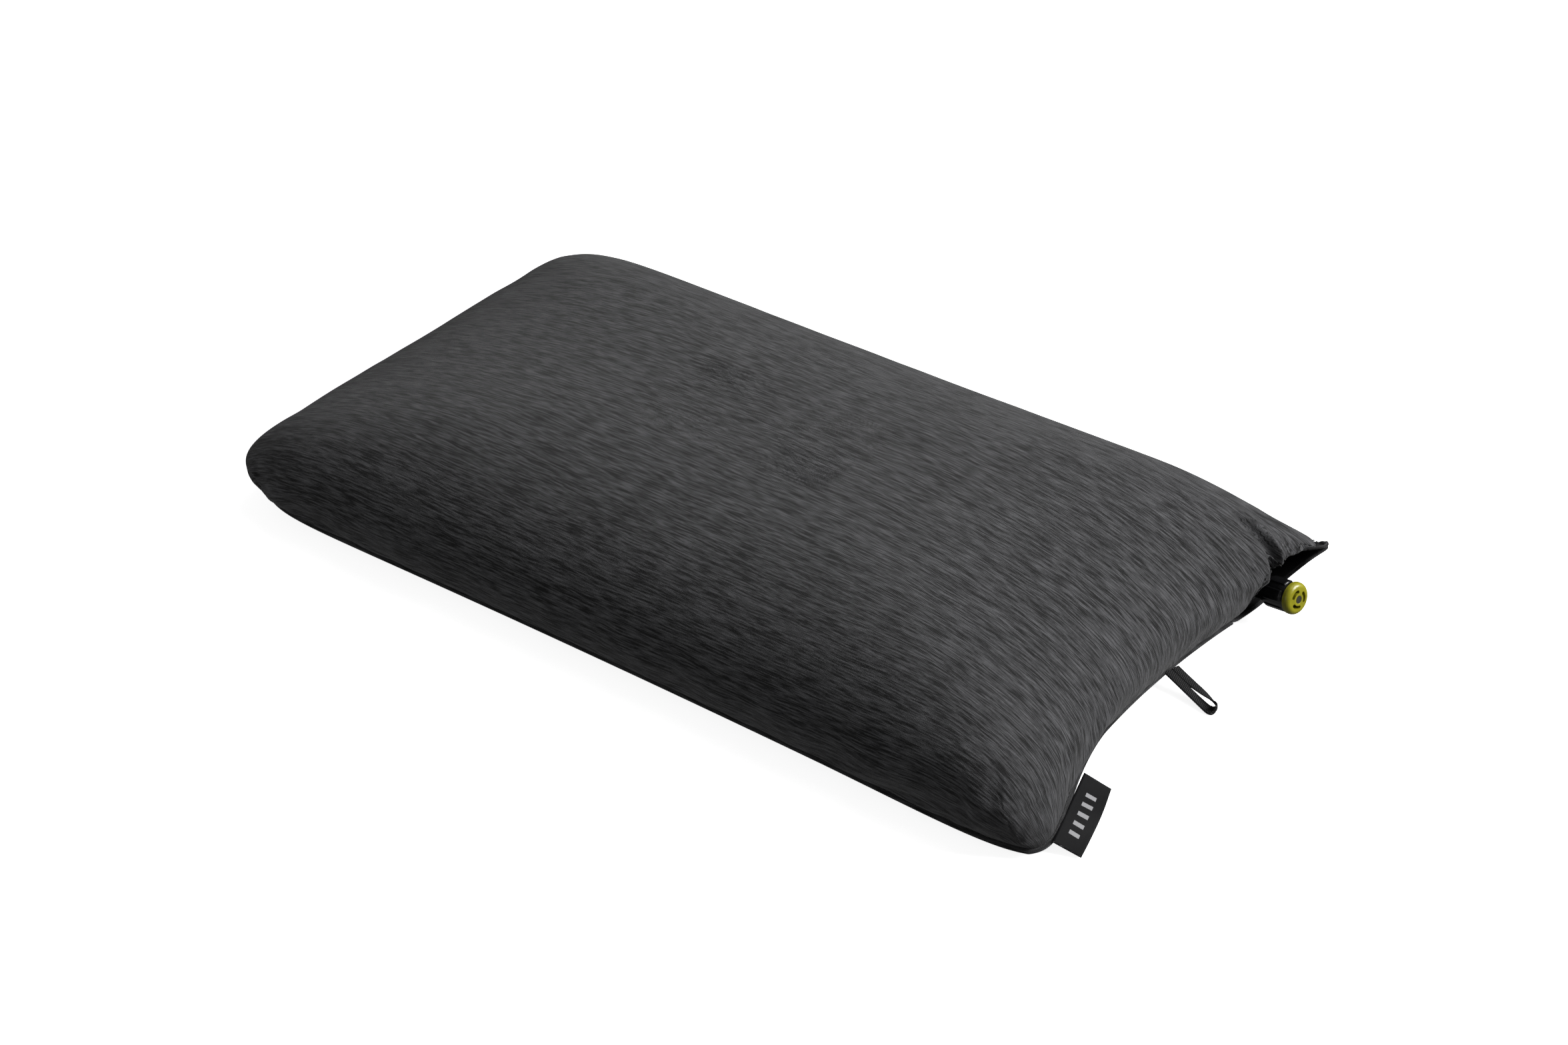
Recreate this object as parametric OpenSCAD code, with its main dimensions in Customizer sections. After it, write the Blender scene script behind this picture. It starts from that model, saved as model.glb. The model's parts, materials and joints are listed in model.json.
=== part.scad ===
// Self-inflating camp pillow: a foam-filled airtight bladder with a twist valve in one corner,
// worn inside a knit cover with a pull loop and a folded side label.
// The origin is the centre of the flat underside, +X points to the valve end and +Z is up.

/* [Pillow] */
// Length of the filled pillow, end to end
body_l = 560; // [440:5:700]
// Width of the filled pillow across its widest line
body_w = 320; // [260:5:400]
// Height of the crown above the floor
body_h = 86; // [70:1:110]
// Height of the widest line above the floor
belly_h = 30; // [26:1:36]
// How far the valve end pulls in at mid width
end_waist = 20; // [0:1:30]
// How far each long side pulls in at mid length
long_waist = 4; // [0:0.5:12]
// How far the flat underside stops short of the widest line
under_curl = 35; // [28:1:45]
// Squareness of the corners seen from above
corner_power = 12; // [6:1:16]
// Fullness of the crown
crown_power = 2.7; // [2:0.1:4]
// Steepness of the sides above the widest line
side_power = 1.7; // [1.4:0.1:2.2]

/* [Cover] */
// Thickness of the knit top panel and of the woven underside panel
cover_t = 1.0; // [0.8:0.1:1.5]
// Height of the side seam above the floor
seam_h = 8.5; // [7:0.5:12]
// Thickness of the rolled side seam
welt_d = 2.4; // [1.6:0.2:3]
// Length of the empty fabric ear at the corner by the label
ear_out = 20; // [5:1:25]
// How far along the sides the ear reaches back
ear_reach = 110; // [60:5:130]

/* [Valve port] */
// Room beside the knob, from its edge to where the port mouth starts
port_side_room = 10.7; // [9:0.1:16]
// Room between the knob's top and the upper hem
port_room = 4.6; // [4:0.1:7]
// Height of the lower hem under the valve
port_sill = 3.3; // [3:0.1:4]
// Height of the tip where the two hems meet
tip_h = 36; // [34:1:42]
// How far the tip stands out beyond the filled corner
tip_out = 17; // [8:1:22]
// Thickness of the rolled hem
hem_d = 1.6; // [1.2:0.1:2]

/* [Bladder and foam] */
// Thickness of the coated bladder fabric
film_t = 0.4; // [0.3:0.1:0.8]
// Air gap between neighbouring layers
layer_gap = 0.5; // [0.4:0.1:1]
// How far the bladder reaches over the valve's welding base
film_grip = 2.5; // [1.5:0.5:4]
// Room between the inner end of the valve and the cut corner of the foam
foam_room = 21; // [12:1:30]

/* [Pull loop] */
// Width of the braided tape
tape_w = 5.2; // [4:0.2:8]
// Thickness of the braided tape
tape_t = 1.1; // [0.8:0.1:1.6]
// Length that the loop stands out of the seam
loop_l = 37; // [25:1:50]
// Width of the slit between the two legs
loop_slit = 0.6; // [0.4:0.1:2]
// Position of the loop across the width, from the middle
loop_y = 30; // [-20:1:40]
// Angle that the loop leans away from the pillow's length
loop_lean = 16; // [0:1:25]

/* [Side label] */
// Length of the folded label along the seam
label_l = 59; // [40:1:70]
// Width that the label stands out of the seam
label_w = 16; // [10:1:20]
// Thickness of one ply of the label
label_t = 0.5; // [0.4:0.1:0.8]
// Distance from the widest long side to the near end of the label
label_from = 27; // [24:1:40]

/* [Valve] */
// Outer diameter of the fixed barrel
barrel_d = 13; // [11:0.2:16]
// Wall of the barrel around its chamber
barrel_wall = 2; // [1.9:0.1:2.2]
// Wall of the knob's grip sleeve
grip_wall = 1.7; // [1.4:0.1:2]
// Length of the knob's grip sleeve
grip_l = 17; // [14:0.5:18]
// How far the face's rim stands proud of the grip sleeve
face_lip = 1.05; // [0.9:0.05:1.4]
// Hole through the barrel's seat
seat_d = 4.2; // [4:0.1:4.6]
// Diameter of the plunger's stem
stem_d = 3; // [2.6:0.1:3.4]
// Running clearance on the radius of every turning or sliding fit
run_gap = 0.05; // [0.02:0.01:0.08]
// How far the plunger lifts off its seat in half a turn of the knob
lift = 3; // [2:0.5:3.5]
// Length across the boat-shaped welding base
base_l = 22; // [20:1:24]
// Height of the boat-shaped welding base
base_h = 9.4; // [9:0.2:11]
// Outer diameter of the barrel's neck inside the welding base
neck_d = 7.4; // [6.8:0.2:7.6]
// Distance from the widest long side to the valve's axis at the knob
valve_from = 47; // [44:1:52]
// Distance that the knob's face stands outside the widest line
valve_out = 13; // [8:1:20]
// Height of the knob's centre above the floor
valve_h = 20; // [18:1:23]
// Upward tilt of the valve
valve_tilt = 12; // [5:1:16]
// Sideways turn of the valve towards the middle of the end
valve_turn = 12; // [0:1:20]

/* [Hidden] */

round_fn = 96;
half_l = body_l / 2;
half_w = body_w / 2;
film_out = cover_t + layer_gap;
foam_out = film_out + film_t + layer_gap;
rest_gap = 0.3;

// Counts of the pillow's grid: rings over the crown, rings below the widest line, points per side
crown_rings = 8;
curl_rings = 4;
valve_side_n = 24;
plain_side_n = 16;
long_side_n = 20;
tube_sides = 8;

// ---- Valve sizes ----

// Diameters that follow the driving ones
neck_bore_d = neck_d - 2.4;
chamber_d = barrel_d - 2 * barrel_wall;
grip_bore_d = barrel_d + 2 * run_gap;
grip_d = grip_bore_d + 2 * grip_wall;
knob_d = grip_d + 2 * face_lip;
pad_d = knob_d - 0.6;
seal_d = chamber_d - 1.6;
spigot_d = stem_d - 0.6;
lip_d = seat_d - 1.2;
head_d = stem_d + 1.4;
clip_d = stem_d + 2.4;
o_ring_d = 1.2;

// Stations along the valve's axis: 0 is the knob's widest plane and + points out of the pillow
face_front = 3.2;
face_back = -1.6;
barrel_top = -4.4;
grip_back = face_back - grip_l;
seat_z = -15;
seat_t = 2;
base_front = -25;
barrel_back = -33;
base_mid = (base_front + barrel_back) / 2;

// ---- Curves ----

// Smooth step from 0 to 1
function ease(t) = let (c = max(0, min(1, t))) c * c * (3 - 2 * c);
function mix(a, b, t) = a * (1 - t) + b * t;
function unit(v) = v / norm(v);

// Point of the unit outline in the direction (a, b)
function rim(a, b) =
    let (m = pow(pow(abs(a), corner_power) + pow(abs(b), corner_power), -1 / corner_power))
    [a * m, b * m];

// The unit outline, anticlockwise from the label corner
RIM = concat(
    [for (i = [0 : valve_side_n - 1]) rim(1, -cos(180 * i / valve_side_n))],
    [for (i = [0 : long_side_n - 1]) rim(cos(180 * i / long_side_n), 1)],
    [for (i = [0 : plain_side_n - 1]) rim(-1, cos(180 * i / plain_side_n))],
    [for (i = [0 : long_side_n - 1]) rim(-cos(180 * i / long_side_n), -1)]);
rim_n = len(RIM);

// Plan position of an outline point, scaled by r and set in from the widest line
function plan(uv, r, inset) =
    let (u = uv[0] * r, v = uv[1] * r, pull = u > 0 ? end_waist / half_l : 0)
    [(half_l - inset) * u * (1 - pull * (1 - v * v) * u * u),
     (half_w - inset) * v * (1 - long_waist / half_w * (1 - u * u) * v * v)];

function lift_to(p, z) = [p[0], p[1], z];

// Unit outline point of the valve end at a distance y across the width
function end_uv(y, inset) =
    let (v = y / (half_w - inset)) [pow(1 - pow(abs(v), corner_power), 1 / corner_power), v];

// ---- Corner weights, from 0 to 1 ----

EAR_CORNER = plan(rim(1, -1), 1, 0);
TIP_CORNER = plan(rim(1, 1), 1, 0);
// The port clears the knob above and beside it
port_start = valve_from + knob_d / 2 + port_side_room;
port_h = valve_h - valve_out * sin(valve_tilt) + knob_d / 2 + port_room;
tip_reach = 28;
under_tip_reach = 16;
port_rise = 12;
port_back = 60;

function ear_at(uv) = pow(max(0, 1 - norm(plan(uv, 1, 0) - EAR_CORNER) / ear_reach), 1.5);
function tip_at(uv, reach) = ease(1 - norm(plan(uv, 1, 0) - TIP_CORNER) / reach);
function port_at(uv) =
    let (p = plan(uv, 1, 0))
    ease((p[1] - half_w + port_start) / port_rise) * ease((p[0] - half_l + port_back) / (port_back / 2));

// ---- Surfaces ----

// Ring i of the crown
function crown_ring(i) =
    let (r = sin(90 * i / crown_rings),
         z = belly_h + (body_h - belly_h) * pow(max(0, 1 - pow(r, crown_power)), 1 / side_power))
    [for (uv = RIM) lift_to(plan(uv, r, 0), z)];

// Point below the widest line, where the side has turned under by an angle
function curl_angle(z) = asin(1 - z / belly_h);
function curl_point(uv, angle) =
    lift_to(plan(uv, 1, under_curl * (1 - cos(angle))), belly_h * (1 - sin(angle)));

// How far the hood over the port falls between the widest line and the hem
hood_drop = 2;

// Edge heights of the two cover panels
top_edge_h = seam_h + welt_d / 2 + rest_gap;
under_edge_h = seam_h - welt_d / 2 - rest_gap;

// Top panel below the widest line: f runs from 0 there to 1 at the panel's edge
function top_skirt(uv, f) =
    let (port = port_at(uv), tip = tip_at(uv, tip_reach), ear = ear_at(uv),
         plain = curl_point(uv, f * curl_angle(top_edge_h)),
         open = lift_to(plan(uv, 1, 0), port_h + hood_drop * (1 - f)),
         move = [ear_out * ear + tip_out * tip, 0, (tip_h - port_h) * tip - ear * seam_h / 3])
    mix(plain, open, port) + f * move;

// How far the lower hem's tip stays inside the upper hem's
tip_gap = 14;
under_edge_inset = under_curl * (1 - cos(curl_angle(under_edge_h)));

// Underside panel from the flat, f = 0, to its edge, f = 1
function under_skirt(uv, f) =
    let (port = port_at(uv), tip = tip_at(uv, under_tip_reach), ear = ear_at(uv),
         p = curl_point(uv, mix(90, curl_angle(under_edge_h), f)),
         sag = p[2] * (1 - port_sill / under_edge_h) * port,
         move = [ear_out * ear + (tip_out + under_edge_inset - tip_gap) * tip, 0,
                 (tip_h - port_sill - 3 * hem_d) * tip - ear * seam_h / 3])
    p - [0, 0, sag] + f * f * f * move;

TOP_GRID = concat(
    [for (i = [1 : crown_rings - 1]) crown_ring(i)],
    [for (k = [0 : curl_rings]) [for (uv = RIM) top_skirt(uv, k / curl_rings)]]);
UNDER_GRID = [for (k = [0 : curl_rings]) [for (uv = RIM) under_skirt(uv, k / curl_rings)]];

// The pillow's closed form without ear or port, cut at height z
function plain_top(z) = concat(
    [for (i = [1 : crown_rings]) crown_ring(i)],
    [for (k = [1 : curl_rings]) [for (uv = RIM) curl_point(uv, k / curl_rings * curl_angle(z))]]);
function plain_under(z) =
    [for (k = [0 : curl_rings])
        [for (uv = RIM) curl_point(uv, mix(90, curl_angle(z), k / curl_rings))]];

// ---- Solids from grids ----

// Outward normal of grid point (i, j); side is 1 for a crown and -1 for an underside
function normal_at(g, i, j, side) =
    let (n = len(g[0]),
         out = g[min(i + 1, len(g) - 1)][j] - g[max(i - 1, 0)][j],
         round = g[i][(j + 1) % n] - g[i][(j + n - 1) % n])
    side * unit(cross(out, round));
function inner_grid(g, t, side) =
    [for (i = [0 : len(g) - 1]) [for (j = [0 : len(g[0]) - 1]) g[i][j] - t * normal_at(g, i, j, side)]];

function flat_list(g) = [for (row = g) each row];
function flip(faces, yes) = [for (f = faces) yes ? [f[2], f[1], f[0]] : f];
function fan(pole, first, n) = [for (j = [0 : n - 1]) [pole, first + j, first + (j + 1) % n]];
function band(a, b, n) =
    [for (j = [0 : n - 1]) let (k = (j + 1) % n) each [[a + j, b + j, b + k], [a + j, b + k, a + k]]];
function bands(first, rows, n) = [for (i = [0 : rows - 2]) each band(first + i * n, first + (i + 1) * n, n)];

// Thin shell of thickness t inside a grid of rings whose middle closes at height pole_z
module shell(g, pole_z, t, side) {
    n = len(g[0]);
    rows = len(g);
    inner = inner_grid(g, t, side);
    first_in = rows * n;
    pole = 2 * rows * n;
    faces = concat(
        flip(concat(fan(pole, 0, n), bands(0, rows, n)), side > 0),
        flip(concat(fan(pole + 1, first_in, n), bands(first_in, rows, n)), side < 0),
        flip(band((rows - 1) * n, first_in + (rows - 1) * n, n), side > 0));
    polyhedron(concat(flat_list(g), flat_list(inner), [[0, 0, pole_z], [0, 0, pole_z - side * t]]), faces);
}

// Solid between a crown grid and a flat underside, both listed from the middle outwards
module filled(top, under, top_z, under_z) {
    n = len(top[0]);
    g = concat(top, [for (i = [len(under) - 1 : -1 : 0]) under[i]]);
    last = (len(g) - 1) * n;
    pole = len(g) * n;
    faces = concat(fan(pole, 0, n), bands(0, len(g), n), flip(fan(pole + 1, last, n), true));
    polyhedron(concat(flat_list(g), [[0, 0, top_z], [0, 0, under_z]]), flip(faces, true));
}

// Round tube of radius r along a path; closed joins its ends
module tube(path, r, closed) {
    n = len(path);
    function at(i) = path[closed ? (i + n) % n : max(0, min(n - 1, i))];
    points = [for (i = [0 : n - 1])
        let (run = unit(at(i + 1) - at(i - 1)), side = unit(cross([0, 0, 1], run)), up = cross(run, side))
        each [for (k = [0 : tube_sides - 1])
            path[i] + r * (cos(360 * k / tube_sides) * side + sin(360 * k / tube_sides) * up)]];
    ends = closed ? [] : [[for (k = [0 : tube_sides - 1]) k],
                               [for (k = [tube_sides - 1 : -1 : 0]) (n - 1) * tube_sides + k]];
    joins = closed ? band((n - 1) * tube_sides, 0, tube_sides) : [];
    polyhedron(points, concat(bands(0, n, tube_sides), joins, ends));
}

// ---- Cover ----

module cover_top() {
    color("#4a4a4c") shell(TOP_GRID, body_h, cover_t, 1);
}

module cover_underside() {
    color("#1c1c1e") shell(UNDER_GRID, 0, cover_t, -1);
}

// Which outline points lie in the port mouth
PORT = [for (j = [0 : rim_n - 1]) if (port_at(RIM[j]) > 0) j];
port_first = PORT[0];
port_last = PORT[len(PORT) - 1];

function top_edge(j) = top_skirt(RIM[j % rim_n], 1);
function under_edge(j) = under_skirt(RIM[j % rim_n], 1);

// Direction at edge point j that runs off the panel, square to its edge
function off_edge(before, after, inside, here) =
    let (run = unit(after - before), off = here - inside) unit(off - (off * run) * run);
function off_top(j) = off_edge(top_edge(j - 1), top_edge(j + 1), top_skirt(RIM[j], 0.9), top_edge(j));
function off_under(j) = off_edge(under_edge(j - 1), under_edge(j + 1), under_skirt(RIM[j], 0.9), under_edge(j));

// Level direction out of the outline at point j
function out_at(j) =
    let (run = plan(RIM[(j + 1) % rim_n], 1, 0) - plan(RIM[(j + rim_n - 1) % rim_n], 1, 0))
    unit([run[1], -run[0], 0]);

// The seam stands outside the cover by what its thickness leaves
welt_stand = welt_d / 2 - cover_t;
module side_seam() {
    path = [for (j = [port_last + 1 : port_first + rim_n - 1])
        (top_edge(j) + under_edge(j)) / 2 + welt_stand * out_at(j)];
    color("#2b2b2d") tube(path, welt_d / 2, false);
}

module port_hem() {
    stand = hem_d / 2 + 3 * rest_gap;
    upper = [for (j = PORT) top_edge(j) + stand * off_top(j)];
    lower = [for (k = [len(PORT) - 1 : -1 : 0]) under_edge(PORT[k]) + stand * off_under(PORT[k])];
    color("#39393b") tube(concat(upper, lower), hem_d / 2, true);
}

// ---- Pull loop and label ----

// Frame at a point of the valve end's seam: x out of the seam, z up, pitched down to the floor
seam_inset = under_curl * (1 - cos(curl_angle(seam_h)));
function seam_point(y) =
    let (uv = end_uv(y, seam_inset))
    lift_to(plan(uv, 1, seam_inset), seam_h) + ear_at(uv) * [ear_out, 0, -seam_h / 3];

root_gap = welt_stand + welt_d / 2 + rest_gap;
floor_gap = 0.4;

module at_loop() {
    reach = root_gap + tape_t / 2 + tape_w * sin(loop_lean);
    pitch = asin((seam_h - floor_gap - tape_t / 2) / loop_l);
    translate(seam_point(loop_y) + [reach * cos(loop_lean), -reach * sin(loop_lean), 0])
        rotate([0, pitch, -loop_lean]) children();
}

module pull_loop() {
    w = 2 * tape_w + loop_slit;
    straight = loop_l - w / 2;
    slit_from = loop_l / 4;
    color("#161617") at_loop() {
        translate([0, 0, -tape_t / 2]) linear_extrude(tape_t) difference() {
            union() {
                translate([0, -w / 2]) square([straight, w]);
                translate([straight, 0]) circle(d = w, $fn = round_fn);
            }
            translate([slit_from, -loop_slit / 2]) square([straight - slit_from, loop_slit]);
            translate([straight, 0]) circle(d = 2 * loop_slit, $fn = round_fn);
        }
        rotate([90, 0, 0]) cylinder(d = tape_t, h = w, center = true, $fn = round_fn);
    }
}

label_a = seam_point(-half_w + label_from);
label_b = seam_point(-half_w + label_from + label_l);

module at_label() {
    run = label_b - label_a;
    angle = atan2(run[1], run[0]) - 90;
    mid = (label_a + label_b) / 2;
    out = [cos(angle), sin(angle), 0];
    bow = max([for (t = [0 : 0.1 : 1]) (seam_point(mix(label_a[1], label_b[1], t)) - label_a) * out]);
    reach = root_gap + rest_gap + label_t + bow;
    pitch = asin((mid[2] - floor_gap - label_t) / label_w);
    translate(mid + reach * out) rotate([0, pitch, angle]) children();
}

module side_label() {
    color("#121213") at_label() {
        for (side = [-1, 1])
            translate([0, -label_l / 2, side > 0 ? 0.02 : -label_t])
                cube([label_w - label_t, label_l, label_t - 0.02]);
        translate([label_w - label_t, 0, 0]) rotate([90, 0, 0])
            cylinder(r = label_t, h = label_l, center = true, $fn = round_fn);
        rotate([90, 0, 0]) cylinder(r = label_t, h = label_l, center = true, $fn = round_fn);
    }
}

// ---- Bladder and foam ----

// The bladder's weld runs level with the middle of the valve's welding base and ends there
weld_h = valve_h + base_mid * sin(valve_tilt);
weld_inset = under_curl * (1 - cos(curl_angle(weld_h)));
function valve_depth(z) = -z * cos(valve_tilt) * cos(valve_turn) - valve_out - weld_inset;
film_relief = valve_depth(barrel_back + film_grip) - film_out;
foam_relief = valve_depth(barrel_back) - foam_out + foam_room;
film_edge_gap = rest_gap;
foam_edge_gap = 0.5;

module bladder_top() {
    grid = inner_grid(plain_top(weld_h + film_edge_gap), film_out, 1);
    color("#0d0d0e") shell(relieved(grid, film_relief, crown_rings - 1), body_h - film_out, film_t, 1);
}

module bladder_bottom() {
    grid = inner_grid(plain_under(weld_h - film_edge_gap), film_out, -1);
    color("#0f0f10") shell(relieved(grid, film_relief, 0), film_out, film_t, -1);
}

// A grid with its port side drawn in by depth and its corner further, less so over its innermost fade rings
corner_cut = tip_out;
corner_reach = 3 * tip_out;
function relieved(g, depth, fade) =
    [for (i = [0 : len(g) - 1]) [for (j = [0 : rim_n - 1])
        let (cut = (port_at(RIM[j]) * depth + tip_at(RIM[j], corner_reach) * corner_cut) * ease((i + 1) / (fade + 1)),
             out = unit([g[i][j][0] / half_l, pow(g[i][j][1] / half_w, 3)]))
        g[i][j] - [cut * out[0], cut * out[1], 0]]];

module foam_core() {
    top = inner_grid(plain_top(weld_h + foam_edge_gap), foam_out, 1);
    under = inner_grid(plain_under(weld_h - foam_edge_gap), foam_out, -1);
    color("#c8b98c")
        filled(relieved(top, foam_relief, crown_rings - 2), relieved(under, foam_relief, 0), body_h - foam_out, foam_out);
}

// ---- Valve, along its own axis ----

valve_y = half_w - valve_from;
valve_side = plan(end_uv(valve_y, 0), 1, 0);

module at_valve() {
    translate([valve_side[0] + valve_out, valve_side[1], valve_h])
        rotate([0, 90 - valve_tilt, -valve_turn]) children();
}

module disc(d, z0, z1) {
    translate([0, 0, z0]) cylinder(d = d, h = z1 - z0, $fn = round_fn);
}

module ring(d_out, d_in, z0, z1) {
    difference() {
        disc(d_out, z0, z1);
        disc(d_in, z0 - 1, z1 + 1);
    }
}

hug = 0.02;
seal_gap = 0.05;
seal_t = 1;
carrier_t = 1.4;
carrier_z = seat_z + seal_gap + seal_t;
guide_h = 4;
guide_t = 1.6;
head_t = 1;
clip_t = 0.7;
clip_z = face_back - run_gap - clip_t;
key_depth = 0.6;
o_ring_z = barrel_top - 2.4;
spigot_h = 1.8;

module valve_base() {
    arc_r = (base_l * base_l + base_h * base_h) / (4 * base_h);
    color("#141415") at_valve() difference() {
        intersection_for (side = [-1, 1])
            translate([side * (arc_r - base_h / 2), 0, barrel_back])
                cylinder(r = arc_r, h = base_front - barrel_back, $fn = round_fn);
        disc(neck_d + 2 * hug, barrel_back - 1, base_front + 1);
    }
}

// Keyway or key: a block from the axis out to radius r, on the side away from the floor
module key_block(r, w, z0, z1) {
    translate([-r, -w / 2, z0]) cube([r, w, z1 - z0]);
}

module valve_barrel() {
    groove_r = grip_bore_d / 2 - hug - o_ring_d - hug;
    groove_w = o_ring_d + 2 * hug;
    color("#0e0e0f") at_valve() difference() {
        union() {
            disc(neck_d, barrel_back, base_front + 1);
            disc(barrel_d, base_front + hug, barrel_top);
        }
        disc(neck_bore_d, barrel_back - 1, seat_z - seat_t);
        disc(seat_d, seat_z - seat_t - 1, seat_z + 1);
        disc(chamber_d, seat_z, barrel_top + 1);
        key_block(chamber_d / 2 + key_depth, guide_t + 2 * run_gap, seat_z, barrel_top + 1);
        ring(barrel_d + 2, 2 * groove_r, o_ring_z - groove_w / 2, o_ring_z + groove_w / 2);
    }
}

module barrel_o_ring() {
    color("#26201c") at_valve() translate([0, 0, o_ring_z]) rotate_extrude($fn = round_fn)
        translate([grip_bore_d / 2 - hug - o_ring_d / 2, 0]) circle(d = o_ring_d, $fn = round_fn);
}

// Grip sleeve with raised finger pads
pad_count = 5;
pad_angle = 40;
pad_edge = 2.4;
pad_root = 0.5;
module knob_grip() {
    color("#111112") at_valve() difference() {
        union() {
            disc(grip_d, grip_back, face_back);
            for (i = [0 : pad_count - 1])
                rotate(360 * i / pad_count)
                    rotate_extrude(angle = pad_angle, $fn = round_fn)
                        translate([grip_d / 2 - pad_root, grip_back + pad_edge])
                            square([(pad_d - grip_d) / 2 + pad_root, grip_l - 2 * pad_edge]);
        }
        disc(grip_bore_d, grip_back - 1, face_back + 1);
    }
}

// Face with a rounded rim, arc-shaped air slots and a bearing for the plunger's stem
slot_count = 3;
slot_angle = 60;
slot_mid_d = knob_d / 2;
slot_w = 2;
rim_r = 2.8;
module knob_face() {
    color("#8a8a1e") at_valve() difference() {
        union() {
            rotate_extrude($fn = round_fn) {
                translate([0, face_back]) square([knob_d / 2, 2]);
                translate([0, face_back]) square([knob_d / 2 - rim_r, face_front - face_back]);
                intersection() {
                    translate([knob_d / 2 - rim_r, face_front - rim_r]) circle(r = rim_r, $fn = round_fn);
                    translate([0, face_back]) square([knob_d, face_front - face_back]);
                }
            }
            ring(grip_bore_d - 2 * hug, grip_bore_d - 2, face_back - spigot_h, face_back + hug);
        }
        for (i = [0 : slot_count - 1]) rotate(360 * i / slot_count + 60) {
            rotate_extrude(angle = slot_angle, $fn = round_fn)
                translate([slot_mid_d / 2 - slot_w / 2, face_back - 1]) square([slot_w, 2 * rim_r + 2]);
            for (end = [0, slot_angle])
                rotate(end) translate([slot_mid_d / 2, 0, 0]) disc(slot_w, face_back - 1, face_front + 1);
        }
        disc(stem_d + 2 * run_gap, face_back - 1, face_front + 1);
        disc(head_d + 2 * run_gap, face_front - head_t - run_gap, face_front + 1);
    }
}

module retaining_clip() {
    color("#b9bbbd") at_valve() difference() {
        ring(clip_d, spigot_d + 2 * hug, clip_z, clip_z + clip_t);
        translate([0, -spigot_d / 2, clip_z - 1]) cube([clip_d, spigot_d, clip_t + 2]);
    }
}

module plunger() {
    color("#3c3c3f") at_valve() difference() {
        union() {
            disc(lip_d, seat_z - 1.2, carrier_z - seal_t - hug);
            disc(spigot_d, seat_z - 1.2, carrier_z + hug);
            disc(seal_d, carrier_z, carrier_z + carrier_t);
            disc(stem_d, carrier_z, face_front - hug);
            disc(head_d, face_front - head_t, face_front);
            intersection() {
                disc(chamber_d - 2 * run_gap, carrier_z, carrier_z + guide_h);
                for (i = [0 : 2])
                    rotate(120 * i) key_block(chamber_d, guide_t, carrier_z, carrier_z + guide_h);
            }
            key_block(chamber_d / 2 + key_depth - run_gap, guide_t, carrier_z, carrier_z + guide_h);
        }
        ring(clip_d + 1, spigot_d, clip_z - hug, clip_z + clip_t + hug);
    }
}

module seal_disc() {
    color("#5a2a20") at_valve() ring(seal_d, spigot_d + 2 * hug, seat_z + seal_gap, carrier_z - hug);
}

cover_top();
cover_underside();
side_seam();
port_hem();
pull_loop();
side_label();
bladder_top();
bladder_bottom();
foam_core();
valve_base();
valve_barrel();
barrel_o_ring();
knob_grip();
knob_face();
retaining_clip();
plunger();
seal_disc();
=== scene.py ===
"""Self-inflating camp pillow: knit cover, woven underside, valve port, pull loop, side label and twist valve.

All lengths are in metres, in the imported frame: the origin is the centre of the flat underside, +X points to
the valve end and +Z is up.
"""
import json
import logging
import math
from dataclasses import dataclass, field
from enum import Enum
from typing import Any, Iterable, Sequence

import bmesh
import bpy
import numpy as np
from mathutils import Matrix, Vector


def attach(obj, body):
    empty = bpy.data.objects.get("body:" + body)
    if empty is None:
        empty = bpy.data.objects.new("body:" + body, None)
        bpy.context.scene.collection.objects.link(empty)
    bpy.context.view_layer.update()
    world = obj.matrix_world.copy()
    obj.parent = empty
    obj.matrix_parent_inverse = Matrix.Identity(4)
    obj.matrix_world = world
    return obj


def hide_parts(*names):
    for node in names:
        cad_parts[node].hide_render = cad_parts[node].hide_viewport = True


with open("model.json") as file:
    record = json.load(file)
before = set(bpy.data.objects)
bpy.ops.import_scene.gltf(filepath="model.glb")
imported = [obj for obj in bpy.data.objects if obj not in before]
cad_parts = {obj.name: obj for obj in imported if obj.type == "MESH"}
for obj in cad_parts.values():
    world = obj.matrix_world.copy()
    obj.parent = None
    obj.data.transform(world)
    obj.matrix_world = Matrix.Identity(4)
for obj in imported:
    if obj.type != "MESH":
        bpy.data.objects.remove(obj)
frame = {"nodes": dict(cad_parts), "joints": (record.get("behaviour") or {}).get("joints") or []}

LOG = logging.getLogger("camp_pillow")
MM = 0.001
Array = np.ndarray
Colour = tuple[float, float, float]
Place = tuple[float, float, float]
Faces = list[tuple[int, ...]]


class Body(Enum):
    """Bodies of the frame that pieces ride on."""

    PILLOW = "pillow"
    PLUNGER = "plunger"
    KNOB = "knob"
    LOOP = "loop"
    LABEL = "label"


class Side(Enum):
    """Which way a layer of the pillow faces."""

    CROWN = 1
    UNDERSIDE = -1


# ---------------------------------------------------------------- shader graph


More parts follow.
